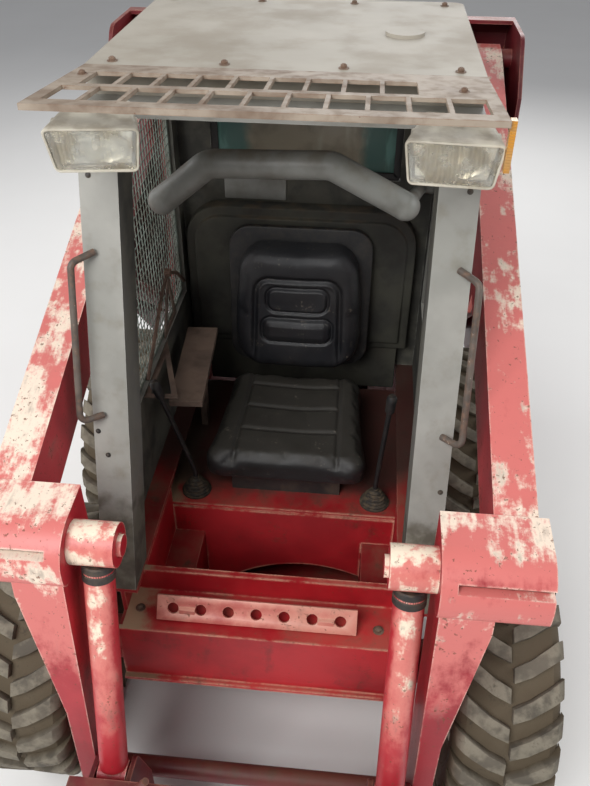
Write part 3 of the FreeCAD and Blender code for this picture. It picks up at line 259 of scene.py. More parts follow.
# Other finishes. The five colours are the base, a second one in patches, the dirt, the spots and the edges.
plainLooks = lookTable("colours dirtShare spotFrom size grain roughness bump soil", {
    "cabGrey": (((140, 141, 135), (120, 120, 114), (82, 76, 62), (92, 80, 62), (168, 168, 160)),
        0.35, 0.8, 5, 70, 0.42, 0.15, 0.3),
    "roofBeige": (((168, 161, 148), (154, 147, 134), (130, 118, 100), (120, 88, 64), (150, 138, 120)),
        0.35, 0.83, 2.0, 30, 0.6, 0.1, 0.15),
    "visorSteel": (((158, 144, 128), (134, 118, 102), (106, 84, 68), (104, 66, 46), (134, 98, 72)),
        0.6, 0.74, 9, 60, 0.6, 0.25, 0.25),
    "rustySteel": (((112, 88, 72), (84, 64, 52), (60, 46, 38), (160, 132, 112), (150, 132, 116)),
        0.6, 0.7, 16, 130, 0.66, 0.4, 0.1),
    "handleSteel": (((98, 88, 80), (74, 66, 60), (128, 96, 76), (172, 158, 142), (150, 138, 126)),
        0.6, 0.72, 18, 120, 0.5, 0.3, 0.1),
    "screenWire": (((128, 140, 130), (100, 108, 98), (84, 72, 56), (168, 178, 168), (150, 156, 146)),
        0.5, 0.7, 12, 160, 0.6, 0.3, 0.1),
    "lampCream": (((204, 198, 182), (184, 178, 162), (136, 124, 104), (110, 94, 74), (160, 150, 132)),
        0.45, 0.82, 7, 90, 0.5, 0.1, 0.25),
    "tanPlastic": (((112, 94, 82), (92, 76, 66), (58, 48, 42), (150, 134, 120), (140, 122, 106)),
        0.5, 0.78, 10, 120, 0.6, 0.2, 0.1),
    "blackPlastic": (((24, 24, 25), (34, 33, 33), (60, 55, 48), (70, 64, 58), (52, 50, 48)),
        0.3, 0.78, 16, 180, 0.5, 0.2, 0.15),
    "bootRubber": (((52, 46, 38), (40, 36, 32), (84, 68, 48), (96, 84, 66), (80, 72, 60)),
        0.5, 0.78, 20, 200, 0.72, 0.25, 0.35),
    "blackSteel": (((38, 36, 35), (52, 48, 45), (84, 72, 58), (106, 72, 52), (92, 82, 72)),
        0.4, 0.76, 12, 100, 0.52, 0.25, 0.3),
    "engineIron": (((62, 62, 62), (78, 74, 70), (34, 28, 24), (110, 78, 58), (96, 92, 88)),
        0.7, 0.74, 9, 90, 0.6, 0.5, 0.3),
    "rimCream": (((190, 180, 158), (170, 158, 134), (112, 92, 70), (112, 66, 42), (126, 84, 58)),
        0.65, 0.74, 9, 80, 0.58, 0.3, 0.4),
    "liningDark": (((60, 59, 50), (46, 45, 40), (34, 31, 28), (96, 92, 82), (82, 80, 70)),
        0.5, 0.8, 5, 200, 0.8, 0.3, 0.3),
})


def wornPlain(name, look):
    coat = Finish(name)
    base, second, dirt, spotted, edged = (tint(*colour) for colour in look["colours"])
    broad = coat.cloud(look["size"], 4)
    patch = coat.cloud(look["size"] * 3.7, 5, shift=3.0)
    fine = coat.cloud(look["grain"], 3, shift=6.0, rough=0.65)
    upward = coat.facing(2).most(0)
    colour = coat.mix(coat.step(broad, 0.36, 0.64), base, second)
    colour = coat.mix(coat.edge(0.004) * coat.step(patch, 0.4, 0.6) * 0.8, colour, edged)
    dirty = coat.step(broad * 0.5 + patch * 0.6, 0.5, 0.74) * look["dirtShare"]
    colour = coat.mix(dirty, colour, dirt)
    spots = coat.step(fine * 0.75 + patch * 0.4, look["spotFrom"], look["spotFrom"] + 0.06)
    colour = coat.mix(spots, colour, spotted)
    dust = upward * coat.step(patch, 0.4, 0.62) * look["soil"]
    colour = coat.mix(dust, colour, soil)
    rough = look["roughness"] + dirty * 0.2 + dust * 0.2 - spots * 0.1
    return coat.attach(Base_Color=colour, Roughness=rough,
                       Normal=coat.bump(fine - spots * 0.5, look["bump"], 0.0012))


def postGrey():  # cab paint, brown stains at the feet of the posts, and painted shade on the sides that face the seat
    coat = Finish("postGrey")
    broad = coat.cloud(4, 4)
    patch = coat.cloud(17, 5, shift=3.0)
    fine = coat.cloud(90, 3, shift=6.0, rough=0.65)
    # painted shade: faces turned towards the seat, and forward faces at the rear of the cab
    inward = coat.step(0 - coat.along(0) * coat.facing(0), 0.05, 0.25)
    rearward = coat.step(0 - coat.facing(1), 0.5, 0.9) * coat.step(coat.along(1), 0.3, 0.38)
    lining = inward.most(rearward)
    colour = coat.mix(coat.step(broad, 0.36, 0.64), tint(160, 158, 151), tint(142, 141, 134))
    colour = coat.mix(coat.step(patch * 0.7 + broad * 0.4, 0.55, 0.75) * 0.4, colour, tint(112, 104, 86))
    foot = coat.step(coat.along(2) + patch * 0.14 + broad * 0.22, 1.16, 1.08)
    foot = foot * (0.3 + 0.7 * coat.step(0 - coat.along(1), 0.30, 0.42))
    stain = coat.mix(coat.step(patch, 0.4, 0.6), tint(78, 70, 54), tint(112, 108, 92))
    colour = coat.mix(foot * 0.85, colour, stain)
    # the painted shade, a little lighter at the front of the cab
    shadeTone = coat.mix(coat.step(broad * 0.6 + patch * 0.5, 0.45, 0.65), tint(48, 47, 42), tint(78, 76, 66))
    lining = lining * (0.62 + 0.38 * coat.step(coat.along(1), -0.50, -0.36))
    colour = coat.mix(lining * 0.95, colour, shadeTone)
    spots = coat.step(fine * 0.75 + patch * 0.4, 0.765, 0.82) * (1 - lining * 0.6)
    colour = coat.mix(spots, colour, tint(96, 78, 58))
    colour = coat.mix(coat.edge(0.004) * coat.step(patch, 0.42, 0.6) * 0.6, colour, tint(186, 188, 182))
    return coat.attach(Base_Color=colour, Roughness=0.5 + foot * 0.25 + lining * 0.25,
                       Normal=coat.bump(fine - spots, 0.2, 0.0012))


def tyreRubber():
    rubber = Finish("tyreRubber")
    tread = rubber.node("ShaderNodeAttribute", {"attribute_name": "treadHeight"}, {}, "Fac")
    broad = rubber.cloud(5, 4)
    patch = rubber.cloud(22, 5, shift=2.0)
    fine = rubber.cloud(160, 3, shift=5.0, rough=0.7)
    colour = rubber.mix(rubber.step(broad, 0.35, 0.65), tint(84, 78, 68), tint(104, 96, 84))
    colour = rubber.mix(rubber.step(1 - tread, 0.2, 0.9) * 0.75, colour, tint(88, 74, 54))
    colour = rubber.mix(tread * rubber.step(patch, 0.38, 0.6) * 0.75, colour, tint(138, 130, 114))
    colour = rubber.mix(rubber.step(patch * 0.7 + fine * 0.4, 0.62, 0.76) * 0.6, colour, tint(56, 50, 44))
    return rubber.attach(Base_Color=colour, Roughness=0.78 + patch * 0.2,
                         Normal=rubber.bump(fine * 0.7 + patch * 0.5, 0.5, 0.002))


def seatVinyl(name, base, dusty, dustShare, gloss):
    vinyl = Finish(name, Specular_IOR_Level=0.55, Coat_Roughness=0.25)
    broad = vinyl.cloud(7, 4)
    patch = vinyl.cloud(26, 5, shift=3.0)
    grain = vinyl.node("ShaderNodeTexVoronoi", {"feature": "DISTANCE_TO_EDGE"},
                       {"Vector": vinyl.spot(), "Scale": 420})
    upward = vinyl.facing(2).most(0)
    colour = vinyl.mix(vinyl.step(broad, 0.35, 0.65), base, tint(34, 33, 34))
    dust = vinyl.step(upward * 0.5 + broad * 0.5 + patch * 0.3, 0.5, 0.95) * dustShare
    colour = vinyl.mix(dust, colour, dusty)
    specks = vinyl.step(patch * 0.6 + vinyl.cloud(140, 2) * 0.5, 0.66, 0.74)
    colour = vinyl.mix(specks * 0.5, colour, tint(118, 110, 98))
    folds = vinyl.cloud(30, 3, shift=8.0)
    return vinyl.attach(Base_Color=colour, Roughness=gloss + dust * 0.4 + patch * 0.1,
                        Normal=vinyl.bump(grain * 3 + folds * 0.8, 0.28, 0.0012))


def brightSteel():
    steel = Finish("brightSteel", Metallic=1.0)
    scrape = steel.cloud(60, 3, (0.4, 4, 4))
    colour = steel.mix(steel.step(scrape, 0.35, 0.7), tint(196, 192, 184), tint(150, 142, 132))
    colour = steel.mix(steel.step(steel.cloud(40, 4, shift=3.0), 0.6, 0.72), colour, tint(120, 86, 62))
    return steel.attach(Base_Color=colour, Roughness=0.28 + scrape * 0.25)


def lampGlass():
    glass = Finish("lampGlass", Transmission_Weight=0.8, IOR=1.3, Coat_Weight=0.3)
    ribs = glass.node("ShaderNodeTexWave", {"wave_type": "BANDS", "bands_direction": "X"},
                      {"Vector": glass.spot(), "Scale": 38, "Distortion": 0.0})
    dust = glass.step(glass.cloud(16, 5), 0.38, 0.68)
    colour = glass.mix(dust, tint(246, 246, 240), tint(214, 206, 188))
    return glass.attach(Base_Color=colour, Roughness=0.1 + dust * 0.3, Normal=glass.bump(ribs, 0.4, 0.002))


def mirrorBowl():
    bowl = Finish("mirrorBowl", Metallic=0.7)
    haze = bowl.step(bowl.cloud(30, 4), 0.4, 0.7)
    colour = bowl.mix(haze, tint(246, 244, 236), tint(216, 210, 196))
    return bowl.attach(Base_Color=colour, Roughness=0.16 + haze * 0.2)


def dustyPane():  # teal at its sides, with the dust thickest in the middle
    pane = Finish("dustyPane", Coat_Weight=0.2, Coat_Roughness=0.1)
    across = pane.along(0)
    patch = pane.cloud(9, 4)
    streak = pane.cloud(14, 4, (1, 1, 0.25), 3.0)
    side = pane.step(across * across + patch * 0.02, 0.036, 0.052)
    colour = pane.mix(pane.step(patch, 0.4, 0.66), tint(146, 138, 118), tint(122, 114, 96))
    colour = pane.mix(pane.step(streak, 0.52, 0.7) * 0.5, colour, tint(168, 166, 146))
    colour = pane.mix(side * 0.9, colour, tint(62, 104, 98))
    colour = pane.mix(side * pane.step(streak, 0.5, 0.62) * 0.6, colour, tint(112, 160, 150))
    return pane.attach(Base_Color=colour, Roughness=0.22 + patch * 0.4)


def amberLens():
    lens = Finish("amberLens", Transmission_Weight=0.2, Coat_Weight=0.4)
    dust = lens.step(lens.cloud(40, 4), 0.4, 0.66)
    colour = lens.mix(dust * 0.6, tint(212, 146, 44), tint(180, 146, 96))
    ribs = lens.node("ShaderNodeTexWave", {"bands_direction": "Z"}, {"Vector": lens.spot(), "Scale": 60})
    return lens.attach(Base_Color=colour, Roughness=0.25 + dust * 0.4, Normal=lens.bump(ribs, 0.4, 0.002))


def paleFloor():
    floor = Finish("paleFloor", Roughness=0.85)
    colour = floor.mix(floor.cloud(1.2, 3), (0.80, 0.79, 0.77, 1), (0.86, 0.85, 0.83, 1))
    return floor.attach(Base_Color=colour)


finishes = {made.name: made for made in [
    *(wornRed(name, look) for name, look in redLooks.items()),
    *(wornPlain(name, look) for name, look in plainLooks.items()),
    postGrey(), tyreRubber(), brightSteel(), lampGlass(), mirrorBowl(), dustyPane(), amberLens(), paleFloor(),
    seatVinyl("backVinyl", tint(22, 23, 27), tint(62, 64, 68), 0.3, 0.26),
    seatVinyl("cushionVinyl", tint(25, 25, 24), tint(62, 58, 49), 0.5, 0.36),
]}
print("finishes built:", len(finishes))

finishNodes = {  # the finish of each node that is carried over
    "redChassis": "chassis_tub engine_cover axle_housings rear_door",
    "redBeam": "front_beam foot_well seat_platform",
    "redStep": "step_bar",
    # the towers and these parts take the darker red, which is painted shade
    "shadedRedTower": "rear_towers arm_cross_tube coupler_frame lift_barrel_left lift_barrel_right",
    "redArm": "arm_left arm_right",
    "redCylinder": "tilt_barrel_left tilt_barrel_right tilt_rod_left tilt_rod_right",
    "brightSteel": "knee_rods lift_rod_left lift_rod_right",
    "tyreRubber": "tyre_front_left tyre_front_right tyre_rear_left tyre_rear_right",
    "rimCream": "rim_front_left rim_front_right rim_rear_left rim_rear_right",
    "engineIron": "engine_block", "postGrey": "cab_frame", "roofBeige": "roof", "visorSteel": "visor_grille",
    "screenWire": "side_screens", "lampCream": "lamp_housings", "lampGlass": "lamp_lenses",
    "amberLens": "side_marker", "handleSteel": "grab_handles", "blackSteel": "seat_base",
    "cushionVinyl": "seat_cushion", "backVinyl": "seat_back", "tanPlastic": "armrest_panel",
    "blackPlastic": "control_levers", "cabGrey": "lap_bar",
}
for finish, names in finishNodes.items():
    for name in names.split():
        for holder in nodes[name].material_slots:
            holder.material = finishes[finish]


# Modelling
def deselect():
    if bpy.context.object and bpy.context.object.mode == "EDIT":
        leave()
    bpy.ops.object.select_all(action="DESELECT")


def only(piece):  # the one selected and active piece
    deselect()
    bpy.context.view_layer.objects.active = piece
    piece.select_set(True)


def everything():
    bpy.ops.mesh.select_all(action="SELECT")


def edit(piece, whole=False):
    only(piece)
    bpy.ops.object.mode_set(mode="EDIT")
    bpy.ops.mesh.select_mode(type="VERT")
    bpy.ops.mesh.select_all(action="SELECT" if whole else "DESELECT")


def leave():
    bpy.ops.object.mode_set(mode="OBJECT")


def closeUp():  # merges doubles and turns the faces outward
    everything()
    bpy.ops.mesh.remove_doubles(threshold=0.00005)
    bpy.ops.mesh.normals_make_consistent(inside=False)
    leave()


def pick(piece, test, kind="faces"):  # selects the faces, edges or verts that pass the test
    bpy.ops.mesh.select_mode(type=kind[:-1].upper())
    bpy.ops.mesh.select_all(action="DESELECT")
    mesh = bmesh.from_edit_mesh(piece.data)
    for part in [part for part in getattr(mesh, kind) if test(part)]:
        part.select_set(True)
    bmesh.update_edit_mesh(piece.data)


def edgeSpan(edge, axis):  # how far an edge reaches along an axis
    return abs(edge.verts[0].co[axis] - edge.verts[1].co[axis])


def push(step):
    bpy.ops.mesh.extrude_region_move(TRANSFORM_OT_translate={"value": step})


def settle(piece):
    only(piece)
    bpy.ops.object.transform_apply(location=True, rotation=True, scale=True)


def modify(piece, kind, **settings):
    only(piece)
    added = piece.modifiers.new(kind.lower(), kind)
    for label, value in settings.items():
        setattr(added, label, value)
    bpy.ops.object.modifier_apply(modifier=added.name)


def bevelled(piece, width, segments=2, angle=30):  # rounds the edges that are sharper than the angle
    limit = math.radians(angle)
    modify(piece, "BEVEL", width=width, segments=segments, limit_method="ANGLE", angle_limit=limit)


def started(add, name, stretch=(1, 1, 1), **settings):
    deselect()
    add(**settings)
    piece = bpy.context.object
    piece.name = piece.data.name = name
    piece.scale = stretch
    settle(piece)
    return piece


def block(name, middle, size):
    return started(bpy.ops.mesh.primitive_cube_add, name, size, size=1, location=middle)


def turned(name, profile, middle, axis="X", steps=64):  # spins (along, radius) points about an axis
    start = (profile[0][0], 0, profile[0][1])
    piece = started(bpy.ops.mesh.primitive_plane_add, name, size=0.001, location=start)
    edit(piece, True)
    bpy.ops.mesh.merge(type="CENTER")
    for before, after in zip(profile, profile[1:]):
        push((after[0] - before[0], 0, after[1] - before[1]))
    everything()
    bpy.ops.mesh.spin(steps=steps, angle=math.tau, center=(0, 0, 0), axis=(1, 0, 0))
    closeUp()
    quarter = math.pi / 2
    turns = {"X": Matrix(), "Y": Matrix.Rotation(quarter, 4, "Z"), "Z": Matrix.Rotation(-quarter, 4, "Y")}
    piece.data.transform(Matrix.Translation(middle) @ turns[axis])
    return piece


def copied(piece, name, change):
    twin = piece.copy()
    twin.data = piece.data.copy()
    twin.name = twin.data.name = name
    bpy.context.collection.objects.link(twin)
    twin.data.transform(change)
    if change.determinant() < 0:
        twin.data.flip_normals()
    return twin


def joined(pieces, name):
    only(pieces[0])
    for piece in pieces:
        piece.select_set(True)
    bpy.ops.object.join()
    piece = bpy.context.object
    piece.name = piece.data.name = name
    return piece


def soften(piece, angle):
    only(piece)
    bpy.ops.object.shade_smooth_by_angle(angle=math.radians(angle))


def dress(piece, finish, slot, stands=(), body="chassis", smooth=35):
    if smooth:
        soften(piece, smooth)
    piece.data.materials.clear()
    piece.data.materials.append(finishes[finish])
    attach(piece, body)
    if stands:
        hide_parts(*stands)
    return piece


def toward(axis):  # turns +Z to an axis
    return Vector((0, 0, 1)).rotation_difference(Vector(axis).normalized()).to_matrix().to_4x4()


def clamped(share):  # held between 0 and 1
    return min(max(share, 0), 1)


mirrorX = Matrix.Scale(-1, 4, (1, 0, 0))

# Floor
floor = started(bpy.ops.mesh.primitive_plane_add, "paleFloor", size=40, location=(0, 0, 0))
floor.data.materials.append(finishes["paleFloor"])

# Tyres: a turned carcass with ribs and a bead, and chevron lugs with softened edges
tyre = {
    "radius": 0.385, "carcass": 0.357, "half": 0.132, "bore": 0.2152, "beadHalf": 0.095, "shoulder": 0.030,
    "wall": 0.312, "lugs": 25, "steps": 102, "bevel": 0.004, "smooth": 32, "axleHeight": 0.385,
    "middles": {"front_left": (-0.623, -0.63), "front_right": (0.623, -0.63), "rear_left": (-0.623, 0.33),
                "rear_right": (0.623, 0.33)},
    "stations": (  # a lug's across, sweep round the tyre, half thickness, top, foot
        (0.004, -0.050, 0.017, 0.382, 0.352), (0.045, -0.032, 0.0190, 0.3835, 0.352),
        (0.088, -0.004, 0.0205, 0.385, 0.350), (0.108, 0.010, 0.0215, 0.384, 0.345),
        (0.124, 0.018, 0.0215, 0.3695, 0.335), (0.1315, 0.022, 0.0205, 0.345, 0.318),
    ),
}


def tyreCarcass():
    half, bead, bore, carcass = (tyre[key] for key in ("half", "beadHalf", "bore", "carcass"))
    side = [  # across and radius, from the bead to the crown
        (bead - 0.012, bore), (bead, bore + 0.003), (bead + 0.004, bore + 0.012),
        (bead + 0.002, bore + 0.018), (half - 0.020, 0.246), (half - 0.012, 0.262), (half - 0.007, 0.266),
        (half - 0.009, 0.272), (half - 0.003, 0.292), (half - 0.0015, tyre["wall"]), (half - 0.006, 0.330),
        (half - 0.016, 0.345), (half - tyre["shoulder"], carcass), (half * 0.4, carcass + 0.0015),
        (0, carcass + 0.002),
    ]
    profile = side + [(-x, radius) for x, radius in reversed(side[:-1])] + [side[0]]
    return turned("tyreCarcass", profile, (0, 0, 0), "X", tyre["steps"])


def tyreLug():
    across, sweep, thick, top, foot = tyre["stations"][0]
    lug = block("tyreLug", (across, sweep, (top + foot) / 2), (0.001, 2 * thick, top - foot))
    edit(lug)
    for before, (across, sweep, thick, top, foot) in zip(tyre["stations"], tyre["stations"][1:]):
        inner = before[0] - 0.0006
        pick(lug, lambda face: face.normal.x > 0.3 and min(corner.co.x for corner in face.verts) > inner)
        push((across - before[0], sweep - before[1], 0))
        mesh = bmesh.from_edit_mesh(lug.data)
        for corner in mesh.verts:
            if corner.select:
                lowEnd = corner.co.z < (before[3] + before[4]) / 2
                behind = corner.co.y < sweep
                corner.co = Vector((across, sweep + (-thick if behind else thick), foot if lowEnd else top))
        bmesh.update_edit_mesh(lug.data)
    leave()
    bevelled(lug, tyre["bevel"], 2, 40)
    for corner in lug.data.vertices:  # bends the bar to the tyre's round
        turn = corner.co.y / tyre["carcass"]
        corner.co = Vector((corner.co.x, corner.co.z * math.sin(turn), corner.co.z * math.cos(turn)))
    return lug


def capitals(corner):
    return corner.title().replace("_", "")


def buildTyres():
    lug = tyreLug()
    pieces = [tyreCarcass()]
    for number in range(tyre["lugs"]):
        for flip, phase in ((Matrix(), 0), (mirrorX, 0.5)):
            turn = Matrix.Rotation((number + phase) * math.tau / tyre["lugs"], 4, "X")
            pieces.append(copied(lug, "lug", turn @ flip))
    bpy.data.objects.remove(lug)
    whole = joined(pieces, "tyreMaster")
    marks = whole.data.attributes.new("treadHeight", "FLOAT", "POINT")
    span = tyre["radius"] - tyre["carcass"]
    for corner, mark in zip(whole.data.vertices, marks.data):
        mark.value = clamped((math.hypot(corner.co.y, corner.co.z) - tyre["carcass"]) / span)
    soften(whole, tyre["smooth"])
    for corner, (x, y) in tyre["middles"].items():
        place = Matrix.Translation((x, y, tyre["axleHeight"])) @ (mirrorX if x < 0 else Matrix())
        made = copied(whole, "treadedTyre" + capitals(corner), place)
        dress(made, "tyreRubber", "tyre_rubber", ["tyre_" + corner], "wheel_" + corner, 0)
    bpy.data.objects.remove(whole)


buildTyres()
print("tyres built")


# Bolts, nuts and plugs: one hexagon head on its washer, copied to every place
def boltMaster():
    washer = [(0, 0), (0, 1.45), (0.12, 1.5), (0.22, 1.45), (0.22, 0)]
    parts = [turned("washer", washer, (0, 0, 0), "Z", 20)]
    for sides, radius, depth, height, soft in ((6, 1, 0.8, 0.6, 0.09), (16, 0.55, 0.3, 1.1, 0.08)):
        part = started(bpy.ops.mesh.primitive_cylinder_add, "boltPart", vertices=sides, radius=radius,
                       depth=depth, location=(0, 0, height))
        bevelled(part, soft)
        parts.append(part)
    return joined(parts, "boltMaster")


postFace = (0, -0.957, 0.2915)
wheelNuts = {"count": 8, "circle": 0.112, "out": 0.020, "radius": 0.014}
bolts = {  # name: [(place, axis, head radius)]
    "towerPinBolts": [
        ((side * 0.652, y, z), (side, 0, 0), 0.011)
        for side in (-1, 1) for y, z in ((0.835, 1.69), (0.725, 1.69), (0.872, 0.64), (0.768, 0.64))],
    "roofBolts": [
        ((x, y, 1.914), (0, 0, 1), 0.008) for x in (-0.38, -0.13, 0.13, 0.38) for y in (-0.225, 0.42)],
    "hubBolts": [
        ((side * 0.566, y + 0.078 * math.cos(turn), 0.385 + 0.078 * math.sin(turn)), (side, 0, 0), 0.008)
        for side in (-1, 1) for y in (-0.63, 0.33) for turn in (0.5, 2.1, 3.7, 5.2)],
    "sillBolts": [
        (place, (0, 0, 1), radius) for place, radius in (
            ((-0.40, -0.60, 0.698), 0.008), ((0.40, -0.60, 0.698), 0.008), ((-0.345, -0.70, 0.620), 0.009),
            ((0.30, -0.71, 0.620), 0.010))],
    "postScrews": [
        (place, postFace, 0.0045) for place in (
            (-0.423, -0.558, 1.173), (-0.425, -0.570, 1.133), (-0.403, -0.589, 1.073),
            (-0.414, -0.392, 1.718), (0.414, -0.392, 1.718), (0.420, -0.600, 1.036))],
    "visorBolts": [
        ((x, y, 1.914 + (-0.254 - y) * 0.085), (0, -0.08, 1), 0.007)
        for x, y in ((-0.403, -0.362), (0.372, -0.409))],
    "coverBolts": [
        ((x, 0.440, z), (0, 1, 0), 0.008) for x in (-0.36, 0.36) for z in (1.20, 1.80)],
}


def boltRow(master, name, places):
    return joined([
        copied(master, name, Matrix.Translation(place) @ toward(axis) @ Matrix.Scale(radius, 4))
        for place, axis, radius in places], name)


def placeBolts():
    master = boltMaster()
    for name, places in bolts.items():
        look = ("blackSteel", "black_steel") if name == "postScrews" else ("rustySteel", "rusty_steel")
        dress(boltRow(master, name, places), *look)
    circle, height = wheelNuts["circle"], tyre["axleHeight"]
    for corner, (x, y) in tyre["middles"].items():
        side = 1 if x > 0 else -1
        x += side * wheelNuts["out"]
        places = []
        for number in range(wheelNuts["count"]):
            turn = (number + 0.5) * math.tau / wheelNuts["count"]
            place = (x, y + circle * math.cos(turn), height + circle * math.sin(turn))
            places.append((place, (side, 0, 0), wheelNuts["radius"]))
        nuts = boltRow(master, "wheelNuts" + capitals(corner), places)
        dress(nuts, "rustySteel", "rusty_steel", (), "wheel_" + corner)
    bpy.data.objects.remove(master)


placeBolts()
print("bolts placed")


# Seat: padded cushion and back with sewn channels
seat = {
    "voxel": 0.006, "pressure": 4.0, "frames": 20,
    "cushion": {
        "front": -0.270, "rear": 0.210, "half": 0.258, "rearHalf": 0.224, "low": 0.702, "high": 0.780,
        "corner": 0.055, "roll": 0.026, "cap": 0.016, "rounds": 5, "seam": 0.158, "seamWide": 0.007,
        "seamDeep": 0.007, "lines": (-0.120, 0.0, 0.115), "lineWide": 0.008, "lineDeep": 0.006, "dish": 0.010,
        "dishHalf": (0.13, 0.15), "ripple": 0.004,
    },
    "back": {
        "low": 0.822, "high": 1.243, "half": 0.212, "middle": -0.004, "front": 0.165, "thick": 0.080,
        "lean": 0.056, "topCorner": 0.075, "footCorner": 0.085, "roll": 0.028, "cap": 0.007, "rounds": 9,
        "seamDeep": 0.011, "panel": (0.134, 0.55, 1.148, 0.045), "padCorner": 0.030, "swell": 0.014,
        "pads": ((0.098, 1.040, 1.120), (0.114, 0.932, 1.016)), "ripple": 0.0025,
    },
}


def puff(piece, shape):  # remesh, fill with air, hold the swelling to a cap, and smooth
    piece.data.remesh_voxel_size = seat["voxel"]
    only(piece)
    bpy.ops.object.voxel_remesh()
    rest = [corner.co.copy() for corner in piece.data.vertices]
    blown = piece.copy()
    blown.data = piece.data.copy()
    bpy.context.collection.objects.link(blown)
    cloth = blown.modifiers.new("air", "CLOTH")
    cloth.settings.use_pressure = True
    cloth.settings.uniform_pressure_force = seat["pressure"]
    cloth.settings.effector_weights.gravity = 0
    for number in range(1, seat["frames"] + 1):
        bpy.context.scene.frame_set(number)
    air = blown.evaluated_get(bpy.context.evaluated_depsgraph_get()).to_mesh()
    for corner, start, end in zip(piece.data.vertices, rest, air.vertices):
        move = end.co - start
        corner.co = start + move * min(1, shape["cap"] / max(move.length, 0.0001))
    bpy.data.objects.remove(blown)
    bpy.context.scene.frame_set(1)
    modify(piece, "SMOOTH", factor=0.5, iterations=shape["rounds"])
    modify(piece, "SUBSURF", levels=1, render_levels=1)


def groove(distance, width, depth):  # depth of a sewn channel at a distance from its line
    return depth * math.exp(-(distance / width) ** 2)


def buildCushion():
    shape = seat["cushion"]
    middle = ((shape["front"] + shape["rear"]) / 2, (shape["low"] + shape["high"]) / 2)
    piece = block("seatCushionPad", (0, middle[0], middle[1]),
                  (2 * shape["half"], shape["rear"] - shape["front"], shape["high"] - shape["low"]))
    for corner in piece.data.vertices:
        if corner.co.y > middle[0]:
            corner.co.x *= shape["rearHalf"] / shape["half"]
    edit(piece)
    pick(piece, lambda edge: edgeSpan(edge, 2) > 0.05, "edges")
    bpy.ops.mesh.bevel(offset=shape["corner"], segments=6)
    pick(piece, lambda face: face.normal.z > 0.9)
    bpy.ops.mesh.bevel(offset=shape["roll"], segments=3)
    leave()
    puff(piece, shape)
    top = max(corner.co.z for corner in piece.data.vertices)
    for corner in piece.data.vertices:
        place = corner.co
        above = clamped((place.z - middle[1]) / (top - middle[1]))
        side = abs(place.x) - (shape["seam"] - 0.02 * (place.y - shape["front"]))
        sink = groove(side, shape["seamWide"], shape["seamDeep"])
        if side < 0:
            for line in shape["lines"]:
                sink = max(sink, groove(place.y - line, shape["lineWide"], shape["lineDeep"]))
            wide, deep = shape["dishHalf"]
            sink += shape["dish"] * math.exp(-((place.x / wide) ** 2 + ((place.y - 0.02) / deep) ** 2))
        ripple = noise.noise(place * 9) * shape["ripple"]
        corner.co.z -= (sink - ripple) * above
        corner.co.z = max(corner.co.z, shape["low"] - 0.001)
    dress(piece, "cushionVinyl", "seat_vinyl", ["seat_cushion"], smooth=180)


def backHalf(up):  # half width of the back from its foot to its top
    marks = ((0.0, 0.84), (0.12, 0.95), (0.3, 1.0), (0.55, 0.985), (0.8, 0.93), (1.0, 0.84))
    for (low, lowShare), (high, highShare) in zip(marks, marks[1:]):
        if up <= high:
            share = lowShare + (highShare - lowShare) * max(up - low, 0) / (high - low)
            break
    return seat["back"]["half"] * share


def boxGap(across, height, half, low, high, radius):  # distance outside a rounded rectangle
    side = abs(across) - (half - radius)
    rise = abs(height - (low + high) / 2) - ((high - low) / 2 - radius)
    return math.hypot(max(side, 0), max(rise, 0)) + min(max(side, rise), 0) - radius


def buildBack():
    shape = seat["back"]
    tall = shape["high"] - shape["low"]
    piece = block("seatBackPad", (0, shape["front"] + shape["thick"] / 2, (shape["low"] + shape["high"]) / 2),
                  (2 * shape["half"], shape["thick"], tall))
    edit(piece)
    pick(piece, lambda edge: edgeSpan(edge, 1) > 0.05 and edge.verts[0].co.z > 1.1, "edges")
    bpy.ops.mesh.bevel(offset=shape["topCorner"], segments=8)
    pick(piece, lambda edge: edgeSpan(edge, 1) > 0.05 and edge.verts[0].co.z < 0.85, "edges")
    bpy.ops.mesh.bevel(offset=shape["footCorner"], segments=8)
    pick(piece, lambda face: face.normal.y < -0.9)
    bpy.ops.mesh.bevel(offset=shape["roll"], segments=4)
    leave()
    puff(piece, shape)
    faceY = min(corner.co.y for corner in piece.data.vertices)
    half, low, high, radius = shape["panel"]
    for corner in piece.data.vertices:
        place = corner.co.copy()
        up = (place.z - shape["low"]) / tall
        share = place.x / shape["half"]
        across = share * backHalf(clamped(up))
        ahead = clamped((faceY + 0.06 - place.y) / 0.05)
        panel = boxGap(across, place.z, half + 0.012 * (0.8 - up), low, high, radius)
        sink = groove(panel, 0.009, shape["seamDeep"]) * clamped((up - 0.06) / 0.2)
        if panel < 0:
            sink = max(sink, 0.004 * min(-panel / 0.02, 1))
            for padHalf, padLow, padHigh in shape["pads"]:
                pad = boxGap(across, place.z, padHalf, padLow, padHigh, shape["padCorner"])
                raised = shape["seamDeep"] * clamped(-pad / 0.026) ** 0.6
                sink = max(sink, groove(pad, 0.008, shape["seamDeep"])) - raised
        swell = shape["swell"] * math.cos(min(abs(share), 1) * math.pi / 2)
        ripple = noise.noise(place * 14) * shape["ripple"]
        corner.co.y += (sink - swell + ripple) * ahead + shape["lean"] * up
        corner.co.x = shape["middle"] + across
    dress(piece, "backVinyl", "seat_vinyl", ["seat_back"], smooth=180)


buildCushion()
buildBack()
print("seat built")


# Flat outlines: a plane whose corners are set, then given its thickness
def sheet(name, corners, thick, soft=0.0):
    piece = started(bpy.ops.mesh.primitive_plane_add, name, size=1)
    edit(piece, True)
    bpy.ops.mesh.merge(type="CENTER")
    bpy.ops.transform.translate(value=corners[0])
    for before, after in zip(corners, corners[1:]):
        push(Vector(after) - Vector(before))
    everything()
    bpy.ops.mesh.edge_face_add()
    leave()
    if thick:
        modify(piece, "SOLIDIFY", thickness=thick, offset=0)
    if soft:
        bevelled(piece, soft, 2, 50)
    return piece


